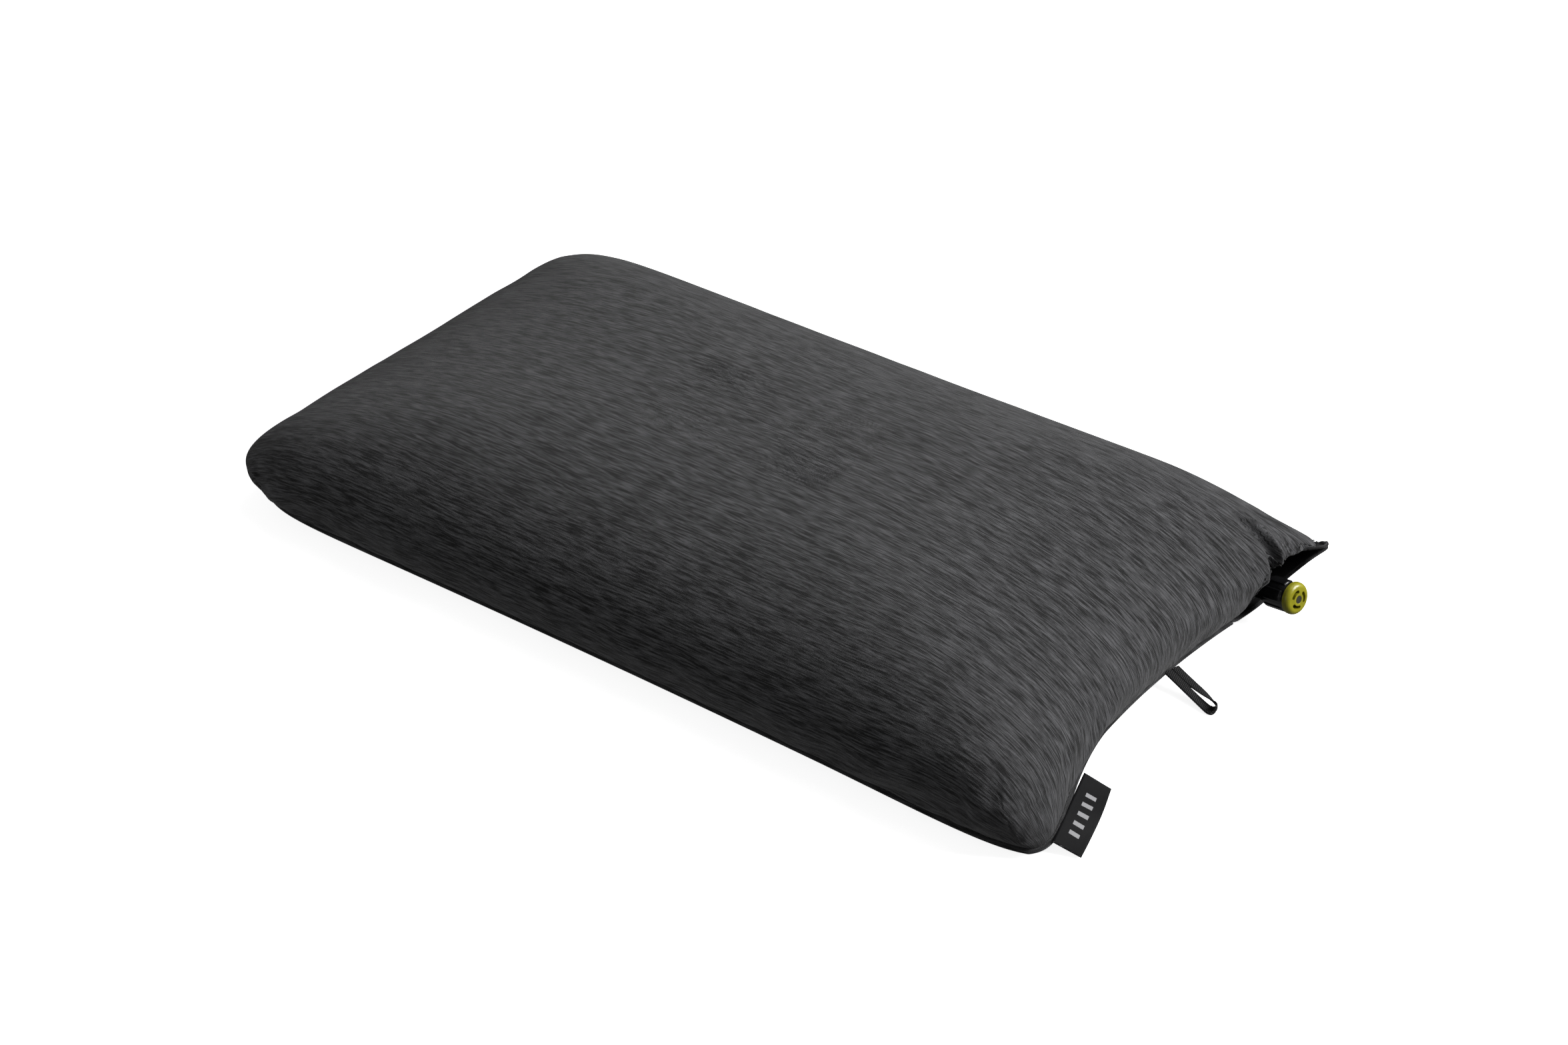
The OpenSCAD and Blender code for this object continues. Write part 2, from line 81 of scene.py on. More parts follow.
class Sock:
    """A node's output that does arithmetic, by adding Math or Vector Math nodes."""

    def __init__(self, graph: "Graph", socket: bpy.types.NodeSocket) -> None:
        """Keeps the graph and the node's output."""
        self.graph = graph
        self.socket = socket

    def _math(self, operation: str, first: Any, second: Any) -> "Sock":
        """Returns: the output of a new Math node."""
        return self.graph.add("ShaderNodeMath", {"operation": operation}, {0: first, 1: second})

    def __add__(self, other: Any) -> "Sock":
        """Returns: this value plus another."""
        return self._math("ADD", self, other)

    def __radd__(self, other: Any) -> "Sock":
        """Returns: another value plus this."""
        return self._math("ADD", other, self)

    def __sub__(self, other: Any) -> "Sock":
        """Returns: this value less another."""
        return self._math("SUBTRACT", self, other)

    def __rsub__(self, other: Any) -> "Sock":
        """Returns: another value less this."""
        return self._math("SUBTRACT", other, self)

    def __mul__(self, other: Any) -> "Sock":
        """Returns: this value times another."""
        return self._math("MULTIPLY", self, other)

    def __rmul__(self, other: Any) -> "Sock":
        """Returns: another value times this."""
        return self._math("MULTIPLY", other, self)

    def __truediv__(self, other: Any) -> "Sock":
        """Returns: this value divided by another."""
        return self._math("DIVIDE", self, other)

    def __rtruediv__(self, other: Any) -> "Sock":
        """Returns: another value divided by this."""
        return self._math("DIVIDE", other, self)

    def __mod__(self, other: Any) -> "Sock":
        """Returns: what is left of this value after whole steps of another."""
        return self._math("FLOORED_MODULO", self, other)

    def __gt__(self, other: Any) -> "Sock":
        """Returns: 1 where this value is the larger, else 0."""
        return self._math("GREATER_THAN", self, other)

    def __lt__(self, other: Any) -> "Sock":
        """Returns: 1 where this value is the smaller, else 0."""
        return self._math("LESS_THAN", self, other)

    def __abs__(self) -> "Sock":
        """Returns: this value without its sign."""
        return self._math("ABSOLUTE", self, 0.0)

    def __pow__(self, other: Any) -> "Sock":
        """Returns: this value to a power."""
        return self._math("POWER", self, other)

    def cos(self) -> "Sock":
        """Returns: the cosine of this value, in radians."""
        return self._math("COSINE", self, 0.0)

    def scaled(self, factors: Sequence[float]) -> "Sock":
        """Scales a vector.

        Args:
            factors: one factor for each of the three axes.
        Returns:
            The scaled vector.
        """
        return self.graph.add("ShaderNodeVectorMath", {"operation": "MULTIPLY"}, {0: self, 1: tuple(factors)})

    def parts(self) -> tuple["Sock", "Sock", "Sock"]:
        """Returns: the vector's three components."""
        node = self.graph.add("ShaderNodeSeparateXYZ", {}, {0: self}).socket.node
        return tuple(Sock(self.graph, node.outputs[i]) for i in range(3))

    def step(self, low: float, high: float) -> "Sock":
        """Smooth step of this value.

        Args:
            low: value that gives 0.
            high: value that gives 1.
        Returns:
            A value from 0 to 1.
        """
        return self.graph.add("ShaderNodeMapRange", {"interpolation_type": "SMOOTHSTEP"},
                              {"Value": self, "From Min": low, "From Max": high})


class Graph:
    """A material's node tree."""

    def __init__(self, name: str) -> None:
        """Starts an empty material.

        Args:
            name: material name.
        """
        self.material = bpy.data.materials.new(name)
        self.material.use_nodes = True
        self.tree = self.material.node_tree
        self.tree.nodes.clear()

    def add(self, kind: str, settings: dict[str, Any], inputs: dict[Any, Any], output: Any = 0) -> Sock:
        """Adds a node.

        Args:
            kind: the node's type name.
            settings: values of the node's own properties.
            inputs: values or outputs for its sockets, by name or index.
            output: name or index of the output to return.
        Returns:
            The chosen output.
        """
        node = self.tree.nodes.new(kind)
        for key, value in settings.items():
            setattr(node, key, value)
        for key, value in inputs.items():
            if isinstance(value, Sock):
                self.tree.links.new(value.socket, node.inputs[key])
            else:
                node.inputs[key].default_value = value
        return Sock(self, node.outputs[output])

    def mix(self, first: Any, second: Any, share: Any) -> Sock:
        """Mixes two colours.

        Args:
            first: colour at share 0.
            second: colour at share 1.
            share: the second colour's share.
        Returns:
            The mixed colour.
        """
        wide = [v if isinstance(v, Sock) else (*v, 1.0) for v in (first, second)]
        return self.add("ShaderNodeMix", {"data_type": "RGBA", "blend_type": "MIX", "clamp_factor": True},
                        {0: share, 6: wide[0], 7: wide[1]}, 2)

    def noise(self, where: Sock, scale: float = 1.0, detail: float = 2.0, rough: float = 0.5) -> Sock:
        """Noise value.

        Args:
            where: position.
            scale: number of features per unit.
            detail: octaves.
            rough: strength of each finer octave.
        Returns:
            A value around one half.
        """
        return self.add("ShaderNodeTexNoise", {"noise_dimensions": "3D"},
                        {"Vector": where, "Scale": scale, "Detail": detail, "Roughness": rough})

    def place(self) -> Sock:
        """Returns: the position in the object's own frame, in metres."""
        return self.add("ShaderNodeTexCoord", {}, {}, "Object")

    def cloth(self) -> Sock:
        """Returns: the position in the flat cloth, in metres, along the piece's length and width."""
        named = {"attribute_type": "GEOMETRY", "attribute_name": "cloth"}
        return self.add("ShaderNodeAttribute", named, {}, "Vector")

    def bump(self, height: Sock, depth: float, under: Sock | None = None) -> Sock:
        """Bumps the surface.

        Args:
            height: bump height from 0 to 1.
            depth: height of 1, in metres.
            under: a coarser bump below this one.
        Returns:
            The bumped normal.
        """
        inputs = {"Height": height, "Distance": depth, "Strength": 1.0}
        if under is not None:
            inputs["Normal"] = under
        return self.add("ShaderNodeBump", {}, inputs)

    def finish(self, colour: Any, rough: Any, normal: Sock | None = None,
               **fixed: float) -> bpy.types.Material:
        """Closes the material with one shader.

        Args:
            colour: base colour.
            rough: roughness.
            normal: bumped normal.
            fixed: uniform values of the shader's own sockets.
        Returns:
            The material.
        """
        inputs = {"Base Color": colour if isinstance(colour, Sock) else (*colour, 1.0), "Roughness": rough}
        inputs.update({key.replace("_", " "): value for key, value in fixed.items()})
        if normal is not None:
            inputs["Normal"] = normal
        shader = self.add("ShaderNodeBsdfPrincipled", {}, inputs)
        self.add_output(shader)
        return self.material

    def add_output(self, shader: Sock) -> None:
        """Links the shader to the material's output.

        Args:
            shader: the closing shader.
        """
        out = self.tree.nodes.new("ShaderNodeOutputMaterial")
        self.tree.links.new(shader.socket, out.inputs["Surface"])


# ---------------------------------------------------------------- finishes


@dataclass(frozen=True)
class HeatherKnit:
    """Fine jersey knit of mixed dark and light yarn, with long thin streaks along the fabric.

    Args:
        name: material name.
        base: mean colour.
        streak: length and width of the dark streaks.
        patch: length and width of the soft light patches.
        stitch: width and height of one stitch.
        painted_shade_factor: brightness of the whole cloth; below 1 it paints shade onto a copy of the knit.
    """

    name: str = "heather_knit"
    base: Colour = (0.0430, 0.0430, 0.0452)
    streak: tuple[float, float] = (11.0 * MM, 0.85 * MM)
    patch: tuple[float, float] = (46.0 * MM, 5.5 * MM)
    stitch: tuple[float, float] = (0.9 * MM, 0.62 * MM)
    painted_shade_factor: float = 1.0

    def build(self) -> bpy.types.Material:
        """Returns: the material."""
        g = Graph(self.name)
        cloth = g.cloth()
        sway = g.noise(cloth, 22.0, 1.0) * (2.2 * MM)
        along, across, _ = cloth.parts()
        across = across + sway
        where = g.add("ShaderNodeCombineXYZ", {}, {0: along, 1: across, 2: 0.0})
        streaks = g.noise(where.scaled((1 / self.streak[0], 1 / self.streak[1], 0)), 1.0, 2.0, 0.55)
        broad = g.noise(where.scaled((0.45 / self.streak[0], 0.4 / self.streak[1], 0)), 1.0, 1.0, 0.5)
        patches = g.noise(where.scaled((1 / self.patch[0], 1 / self.patch[1], 0)), 1.0, 2.0, 0.5)
        fleck = g.noise(where.scaled((0.5 / self.stitch[0], 1 / self.stitch[1], 0)), 1.0, 1.0, 0.5)
        level = (1.02 - 0.85 * (1.0 - streaks.step(0.37, 0.50)) + 1.0 * streaks.step(0.51, 0.64)
                 - 0.70 * (1.0 - broad.step(0.36, 0.50)) + 1.9 * (patches - 0.5) + 1.0 * (fleck - 0.5))
        wale = (along / self.stitch[0]) % 1.0
        chevron = across / self.stitch[1] + abs(2.0 * wale - 1.0) * 0.55
        loops = (chevron * (2 * math.pi)).cos() * 0.5 + 0.5
        rib = abs((along / self.stitch[0] * math.pi).cos())
        knit = loops * (0.35 + 0.65 * (1.0 - rib ** 4.0))
        # Painted shade: the knit's loop pattern, which also bumps the surface, darkens the colour between the
        # loops and lightens their crests; the level is the yarn's own heather tone.
        shade = level * (0.86 + 0.24 * knit)
        # Painted shade: a brightness factor below 1 darkens the whole cloth's colour, for copies of this knit
        # that stand in shade.
        dark, light = tuple(0.12 * c for c in self.base), tuple(2.6 * self.painted_shade_factor * c for c in self.base)
        colour = g.mix(dark, light, shade / 2.6)
        normal = g.bump(knit + 0.5 * fleck, 0.16 * MM)
        return g.finish(colour, 0.86 - 0.12 * knit, normal, Sheen_Weight=0.14, Sheen_Roughness=0.45,
                        Specular_IOR_Level=0.22)


@dataclass(frozen=True)
class PlainWoven:
    """Plain-woven cloth.

    Args:
        name: material name.
        base: colour of the yarn's crests; between the crossings the colour is darkened as painted shade.
        thread: width of one yarn.
        gloss: roughness of the crests.
    """

    name: str = "black_woven"
    base: Colour = (0.0075, 0.0075, 0.0083)
    thread: float = 0.45 * MM
    gloss: float = 0.52

    def build(self) -> bpy.types.Material:
        """Returns: the material."""
        g = Graph(self.name)
        cloth = g.cloth()
        along, across, _ = cloth.parts()
        warp = (along * (math.pi / self.thread)).cos()
        weft = (across * (math.pi / self.thread)).cos()
        weave = warp * weft * 0.5 + 0.5
        slub = g.noise(cloth.scaled((60.0, 900.0, 0.0)), 1.0, 2.0, 0.6)
        wear = g.noise(cloth, 35.0, 3.0, 0.6)
        # Painted shade: the weave's crossings, which also bump the cloth, darken the colour between the
        # yarns; slub and wear vary the yarn's own tone.
        shade = 0.55 + 0.45 * weave + 0.35 * (slub - 0.5) + 0.4 * (wear - 0.5)
        colour = g.mix((0.0, 0.0, 0.0), tuple(2 * c for c in self.base), shade / 2.0)
        soft = g.bump(wear, 0.5 * MM)
        return g.finish(colour, self.gloss + 0.2 * (1.0 - weave), g.bump(weave, 0.10 * MM, soft),
                        Specular_IOR_Level=0.35)


@dataclass(frozen=True)
class CoatedFilm:
    """Bladder fabric with a glossy airtight coating.

    Args:
        name: material name.
        base: colour.
        crease: width of the soft creases.
    """

    name: str = "coated_film"
    base: Colour = (0.0045, 0.0045, 0.0050)
    crease: float = 9 * MM

    def build(self) -> bpy.types.Material:
        """Returns: the material."""
        g = Graph(self.name)
        place = g.place()
        creases = g.noise(place, 1 / self.crease, 3.0, 0.55)
        haze = g.noise(place, 400.0, 2.0)
        # Painted highlight: the colour lightens on the raised creases, the same noise that bumps the film.
        colour = g.mix(self.base, tuple(2.4 * c for c in self.base), creases.step(0.45, 0.75))
        return g.finish(colour, 0.16 + 0.12 * haze, g.bump(creases, 1.6 * MM), Coat_Weight=0.4,
                        Coat_Roughness=0.12)


@dataclass(frozen=True)
class Moulded:
    """Moulded plastic or rubber with a faint grain, slightly worn on its finish.

    Args:
        name: material name.
        base: colour.
        rough: mean roughness.
        grain: size of the mould's grain.
        depth: height of the grain.
        coat: weight of the clear skin.
    """

    name: str
    base: Colour
    rough: float = 0.3
    grain: float = 0.35 * MM
    depth: float = 0.012 * MM
    coat: float = 0.0

    def build(self) -> bpy.types.Material:
        """Returns: the material."""
        g = Graph(self.name)
        place = g.place()
        grain = g.noise(place, 1 / self.grain, 2.0)
        flow = g.noise(place, 180.0, 3.0, 0.6)
        dull, bright = tuple(0.86 * c for c in self.base), tuple(1.12 * c for c in self.base)
        colour = g.mix(dull, bright, flow.step(0.3, 0.7))
        rough = self.rough + 0.10 * (flow - 0.5) + 0.06 * (grain - 0.5)
        return g.finish(colour, rough, g.bump(grain, self.depth), Coat_Weight=self.coat, Coat_Roughness=0.12)


@dataclass(frozen=True)
class OpenFoam:
    """Open-cell foam.

    Args:
        name: material name.
        base: colour of the struts; the middle of each cell is darkened as painted shade.
        cell: size of a cell.
    """

    name: str = "open_cell_foam"
    base: Colour = (0.62, 0.52, 0.30)
    cell: float = 1.1 * MM

    def build(self) -> bpy.types.Material:
        """Returns: the material."""
        g = Graph(self.name)
        place = g.place()
        cells = g.add("ShaderNodeTexVoronoi", {"feature": "F1"}, {"Vector": place, "Scale": 1 / self.cell},
                      "Distance")
        tone = g.noise(place, 45.0, 3.0)
        # Painted shade: the middle of each cell, where the bump sinks, is darkened to about a third of the
        # strut colour, as the shade inside the pores.
        colour = g.mix(tuple(0.35 * c for c in self.base), self.base, cells.step(0.15, 0.55))
        colour = g.mix(colour, tuple(0.8 * c for c in self.base), 0.5 * tone)
        return g.finish(colour, 0.92, g.bump(cells, 0.4 * MM), Sheen_Weight=0.1)


@dataclass(frozen=True)
class Braid:
    """Narrow braided tape: diagonal yarns in a few dotted rows.

    Args:
        name: material name.
        base: colour of the crests; the grooves are darkened to near black as painted shade.
        row: width of one row of yarn.
        pitch: length of one crossing.
    """

    name: str = "braided_tape"
    base: Colour = (0.0125, 0.0125, 0.0135)
    row: float = 1.04 * MM
    pitch: float = 1.25 * MM

    def build(self) -> bpy.types.Material:
        """Returns: the material."""
        g = Graph(self.name)
        cloth = g.cloth()
        along, across, _ = cloth.parts()
        lane = across / self.row
        shift = (lane % 2.0 > 1.0) * 0.5
        dot = ((along / self.pitch + shift) * (2 * math.pi)).cos() * 0.5 + 0.5
        ridge = abs((lane * math.pi).cos())
        height = dot * (1.0 - ridge ** 3.0)
        fibre = g.noise(cloth.scaled((3000.0, 9000.0, 0.0)), 1.0, 1.0)
        bright = tuple(1.6 * c for c in self.base)
        # Painted shade: the grooves between the dots and rows, where the bump sinks, are darkened to near
        # black; the fibre noise varies the yarn's tone.
        colour = g.mix((0.0015, 0.0015, 0.0017), bright, height * (0.6 + 0.6 * fibre))
        return g.finish(colour, 0.62 - 0.14 * height, g.bump(height, 0.35 * MM), Specular_IOR_Level=0.25,
                        Sheen_Weight=0.03)


@dataclass(frozen=True)
class WovenLabel:
    """Black satin label with a plain row of pale bars, and a pale edge of cut yarns.

    Args:
        name: material name.
        base: ground colour.
        mark: colour of the bars.
        length: label length.
        width: label width.
        bars: number of bars.
        margin: plain share of the length at each end.
        bar: start and end of a bar within its share of the length.
        band: lower and upper end of the bars, as shares of the width.
        yarn: widths of a warp and a weft yarn.
        fray: length of the pale cut yarns at each end.
    """

    name: str = "label_satin"
    base: Colour = (0.0045, 0.0045, 0.005)
    mark: Colour = (0.33, 0.33, 0.34)
    length: float = 59 * MM
    width: float = 16 * MM
    bars: int = 5
    margin: float = 0.17
    bar: tuple[float, float] = (0.22, 0.62)
    band: tuple[float, float] = (0.30, 0.66)
    yarn: tuple[float, float] = (0.22 * MM, 0.16 * MM)
    fray: float = 0.5 * MM

    def build(self) -> bpy.types.Material:
        """Returns: the material."""
        g = Graph(self.name)
        cloth = g.cloth()
        along, across, _ = cloth.parts()
        run = along / self.length + 0.5
        rise = across / self.width
        slot = (run - self.margin) / (1 - 2 * self.margin) * self.bars
        inside = (run > self.margin) * (run < 1 - self.margin)
        upright = ((slot % 1.0) > self.bar[0]) * ((slot % 1.0) < self.bar[1])
        band = (rise > self.band[0]) * (rise < self.band[1])
        thread = (along * (math.pi / self.yarn[0])).cos() * 0.5 + 0.5
        pick = (across * (math.pi / self.yarn[1])).cos() * 0.5 + 0.5
        # Painted shade: the pale bars dim between the weft yarns.
        mark = inside * upright * band * (0.78 + 0.22 * pick)
        fray = g.noise(cloth.scaled((900.0, 300.0, 0.0)), 1.0, 1.0).step(0.56, 0.66)
        end = (abs(along) > self.length / 2 - self.fray) * fray * 0.5
        # Painted shade: the ground darkens between the warp and weft yarns, the same pattern that bumps the
        # label, and lightens on their crests.
        dull, bright = tuple(0.6 * c for c in self.base), tuple(1.7 * c for c in self.base)
        ground = g.mix(dull, bright, thread * 0.6 + pick * 0.4)
        colour = g.mix(g.mix(ground, self.mark, mark), self.mark, end)
        height = thread * 0.5 + pick * 0.5 + mark * 1.5
        return g.finish(colour, 0.55 - 0.1 * thread, g.bump(height, 0.05 * MM), Specular_IOR_Level=0.10)


@dataclass(frozen=True)
class TwistedThread:
    """Sewing thread of twisted plies.

    Args:
        name: material name.
        base: colour.
        twist: length of one turn of the twist.
    """

    name: str = "sewing_thread"
    base: Colour = (0.004, 0.004, 0.0045)
    twist: float = 0.5 * MM

    def build(self) -> bpy.types.Material:
        """Returns: the material."""
        g = Graph(self.name)
        place = g.place()
        x, y, z = place.parts()
        ply = (((x + y + z) / self.twist) * (2 * math.pi)).cos() * 0.5 + 0.5
        fuzz = g.noise(place, 5000.0, 1.0)
        # Painted shade: the colour darkens between the twisted plies, the same pattern that bumps the thread;
        # the fuzz varies its tone.
        dull, bright = tuple(0.5 * c for c in self.base), tuple(1.5 * c for c in self.base)
        colour = g.mix(dull, bright, ply * 0.7 + fuzz * 0.3)
        return g.finish(colour, 0.55 + 0.2 * fuzz, g.bump(ply, 0.04 * MM), Sheen_Weight=0.1)


@dataclass(frozen=True)
class SpringSteel:
    """Plain spring steel with fine drawing lines.

    Args:
        name: material name.
        base: colour.
    """

    name: str = "clip_steel"
    base: Colour = (0.55, 0.55, 0.56)

    def build(self) -> bpy.types.Material:
        """Returns: the material."""
        g = Graph(self.name)
        lines = g.noise(g.place().scaled((9000.0, 900.0, 900.0)), 1.0, 2.0)
        colour = g.mix(tuple(0.8 * c for c in self.base), self.base, lines)
        return g.finish(colour, 0.22 + 0.2 * lines, g.bump(lines, 0.004 * MM), Metallic=1.0)


# ---------------------------------------------------------------- meshes


def unit(v: Array) -> Array:
    """Unit vectors.

    Args:
        v: vectors along the last axis.
    Returns:
        The same directions with length 1.
    """
    return v / np.maximum(np.linalg.norm(v, axis=-1, keepdims=True), 1e-12)


def ease(t: Array | float) -> Array:
    """Smooth step.

    Args:
        t: values.
    Returns:
        0 below 0, 1 above 1 and smooth between.
    """
    c = np.clip(t, 0.0, 1.0)
    return c * c * (3 - 2 * c)


def run_length(path: Array) -> Array:
    """Distance travelled along a path.

    Args:
        path: points along it, whose first three numbers are the position.
    Returns:
        Each point's distance from the first, along the path.
    """
    return np.concatenate([[0], np.cumsum(np.linalg.norm(np.diff(path[:, :3], axis=0), axis=1))])


def arc(radius: float, angles: Array, centre: Array | float = 0.0) -> Array:
    """Points on an arc.

    Args:
        radius: its radius.
        angles: the points' angles in radians.
        centre: its centre.
    Returns:
        The points in the plane.
    """
    return centre + radius * np.stack([np.cos(angles), np.sin(angles)], -1)


def make_mesh(name: str, points: Array, faces: Iterable[Sequence[int]], cloth: Array | None = None,
              smooth: bool = True) -> bpy.types.Object:
    """Makes a mesh object in the frame.

    Args:
        name: piece name.
        points: vertex positions.
        faces: vertex indices of each face.
        cloth: each vertex's position in the flat cloth.
        smooth: whether its faces are shaded smooth.
    Returns:
        The object.
    """
    mesh = bpy.data.meshes.new(name)
    mesh.from_pydata([tuple(map(float, p)) for p in points], [], [tuple(map(int, f)) for f in faces])
    if smooth:
        mesh.polygons.foreach_set("use_smooth", [True] * len(mesh.polygons))
    if cloth is not None:
        flat = np.zeros((len(points), 3), dtype=np.float32)
        flat[:, :2] = cloth
        mesh.attributes.new("cloth", "FLOAT_VECTOR", "POINT").data.foreach_set("vector", flat.ravel())
    mesh.update()
    obj = bpy.data.objects.new(name, mesh)
    bpy.context.collection.objects.link(obj)
    return obj


def ring_faces(first: int, rows: int, n: int, flip: bool = False) -> Faces:
    """Quads between consecutive rings of vertices.

    Args:
        first: index of the first vertex.
        rows: number of rings.
        n: vertices per ring.
        flip: whether to turn the faces over.
    Returns:
        The faces.
    """
    faces = []
    for i in range(rows - 1):
        a, b = first + i * n, first + (i + 1) * n
        for j in range(n):
            k = (j + 1) % n
            quad = (a + j, b + j, b + k, a + k)
            faces.append(quad[::-1] if flip else quad)
    return faces


def closing_faces(rows: int, n: int) -> Faces:
    """Quads that join the last ring of vertices to the first.

    Args:
        rows: number of rings.
        n: vertices per ring.
    Returns:
        The faces.
    """
    last = (rows - 1) * n
    return [(last + j, j, (j + 1) % n, last + (j + 1) % n) for j in range(n)]


def cap_faces(first: int, rows: int, n: int) -> Faces:
    """The two end faces of a tube of rings.

    Args:
        first: index of the first vertex.
        rows: number of rings.
        n: vertices per ring.
    Returns:
        The faces.
    """
    last = first + (rows - 1) * n
    return [tuple(range(first + n - 1, first - 1, -1)), tuple(range(last, last + n))]


def fan_faces(pole: int, first: int, n: int, flip: bool = False) -> Faces:
    """Triangles from a pole to a ring.

    Args:
        pole: index of the pole.
        first: index of the ring's first vertex.
        n: vertices in the ring.
        flip: whether to turn the faces over.
    Returns:
        The faces.
    """
    faces = [(pole, first + j, first + (j + 1) % n) for j in range(n)]
    return [f[::-1] for f in faces] if flip else faces


def thinned_disc(rings: int, n: int, flip: bool = False, fewest: int = 10) -> tuple[Faces, Array]:
    """Faces of a disc of rings around a pole, with fewer spokes near the pole.

    Args:
        rings: number of rings.
        n: vertices per full ring; the pole comes after the last ring.
        flip: whether to turn the faces over.
        fewest: least number of spokes at the pole.
    Returns:
        The faces, and which vertices they use.
    """
    levels = 0
    while n % (2 ** (levels + 1)) == 0 and n // 2 ** (levels + 1) >= fewest:
        levels += 1
    stride = [2 ** max(0, levels - i) for i in range(rings)]
    faces: Faces = [(rings * n, j, (j + stride[0]) % n) for j in range(0, n, stride[0])]
    for i in range(rings - 1):
        a, b, wide, fine = i * n, (i + 1) * n, stride[i], stride[i + 1]
        for j in range(0, n, wide):
            k, mid = (j + wide) % n, j + fine
            if fine == wide:
                faces.append((a + j, b + j, b + k, a + k))
            else:
                faces += [(a + j, b + j, b + mid), (a + j, b + mid, a + k), (a + k, b + mid, b + k)]
    used = np.unique(np.concatenate([np.array(f) for f in faces]))
    return [f[::-1] for f in faces] if flip else faces, used


def packed_disc(name: str, rows: Array, pole: Array, side: Side) -> tuple[bpy.types.Object, Array]:
    """Makes a panel from its grid of rings.

    Args:
        name: piece name.
        rows: the grid, ring by ring from the middle outwards.
        pole: position of its middle.
        side: which way it faces.
    Returns:
        The panel, and the grid index of each of its vertices.
    """
    cloth = flat_cloth(rows, pole)
    count, n = rows.shape[:2]
    faces, used = thinned_disc(count, n, side is Side.UNDERSIDE)
    index = np.zeros(count * n + 1, int)
    index[used] = np.arange(len(used))
    points = np.vstack([rows.reshape(-1, 3), pole])[used]
    flat = np.vstack([cloth.reshape(-1, 2), (0, 0)])[used]
    return make_mesh(name, points, [tuple(index[list(f)]) for f in faces], flat), used


def grid_normals(rows: Array, side: Side) -> Array:
    """Outward normals of a grid of rings.

    Args:
        rows: positions, ring by ring from the middle outwards.
        side: which way the layer faces.
    Returns:
        One normal per position.
    """
    out = np.empty_like(rows)
    out[1:-1] = rows[2:] - rows[:-2]
    out[0] = rows[1] - rows[0]
    out[-1] = rows[-1] - rows[-2]
    around = np.roll(rows, -1, axis=1) - np.roll(rows, 1, axis=1)
    return side.value * unit(np.cross(out, around))


def flat_cloth(rows: Array, pole: Array) -> Array:
    """Lays the grid out flat, ray by ray, so that a weave keeps its size and wraps over the sides.

    Args:
        rows: positions, ring by ring from the middle outwards.
        pole: position of the middle, which becomes the flat cloth's origin.
    Returns:
        Flat positions of the grid.
    """
    normal = grid_normals(rows, Side.CROWN)
    normal *= np.sign(np.mean(normal[0, :, 2]))
    nx, ny, nz = normal[..., 0], normal[..., 1], normal[..., 2]
    share = 1.0 / np.maximum(1.0 + nz, 0.15)
    run_s = unit(np.stack([1 - nx * nx * share, -nx * ny * share, -nx], -1))
    run_t = np.cross(normal, run_s)
    path = np.concatenate([np.broadcast_to(pole, (1, *rows.shape[1:])), rows])
    step = np.diff(path, axis=0)
    flat = []
    for run in (run_s, run_t):
        mid = np.concatenate([run[:1], 0.5 * (run[1:] + run[:-1])])
        flat.append(np.cumsum(np.einsum("ijk,ijk->ij", step, mid), axis=0))
    return np.stack(flat, -1)


def smooth_path(points: Sequence[Sequence[float]], count: int, steps: int = 24) -> Array:
    """A smooth curve through points.

    Args:
        points: points that the curve passes.
        count: number of points to return, evenly spaced.
        steps: steps between two of the points before spacing.
    Returns:
        Points along the curve.
    """
    p = np.asarray(points, float)
    ext = np.vstack([2 * p[0] - p[1], p, 2 * p[-1] - p[-2]])
    fine = []
    for i in range(len(p) - 1):
        a, b, c, d = ext[i:i + 4]
        for t in np.linspace(0, 1, steps, endpoint=False):
            fine.append(0.5 * (2 * b + (c - a) * t + (2 * a - 5 * b + 4 * c - d) * t * t
                               + (3 * b - a - 3 * c + d) * t ** 3))
    return even_path(np.vstack([fine, p[-1]]), count)


def even_path(path: Array, count: int) -> Array:
    """Spaces points evenly along a path.

    Args:
        path: points along it, whose first three numbers are the position.
        count: number of points to return.
    Returns:
        Evenly spaced points.
    """
    run = run_length(path)
    at = np.linspace(0, run[-1], count)
    return np.stack([np.interp(at, run, path[:, k]) for k in range(path.shape[1])], -1)


def sweep(name: str, path: Array, wide: Array, profile: Array, closed: bool = False) -> bpy.types.Object:
    """Sweeps a closed profile along a path.

    Args:
        name: piece name.
        path: points along the middle.
        wide: the profile's first axis at each point.
        profile: profile points, along wide and square to it.
        closed: whether the path joins its ends.
    Returns:
        The piece, with its flat cloth position running along the path and around the profile.
    """
    run = (np.roll(path, -1, 0) - np.roll(path, 1, 0)) if closed else np.gradient(path, axis=0)
    run = unit(run)
    wide = unit(wide - np.sum(wide * run, -1, keepdims=True) * run)
    high = np.cross(run, wide)
    n, k = len(path), len(profile)
    points = (path[:, None] + profile[None, :, :1] * wide[:, None] + profile[None, :, 1:] * high[:, None])
    along = np.broadcast_to(run_length(path)[:, None], (n, k))
    cloth = np.stack([along, np.broadcast_to(profile[None, :, 0], (n, k))], -1)
    faces = ring_faces(0, n, k) + (closing_faces(n, k) if closed else cap_faces(0, n, k))
    return make_mesh(name, points.reshape(-1, 3), faces, cloth.reshape(-1, 2))


def round_profile(width: float, height: float, count: int, power: float) -> Array:
    """A rounded profile.

    Args:
        width: full width.
        height: full height.
        count: number of points.
        power: 2 for an ellipse, more for a squarer form.
    Returns:
        Points around the profile.
    """
    a = np.linspace(0, 2 * math.pi, count, endpoint=False)
    c, s = np.cos(a), np.sin(a)
    m = (np.abs(c) ** power + np.abs(s) ** power) ** (-1 / power)
    return np.stack([0.5 * width * c * m, 0.5 * height * s * m], -1)


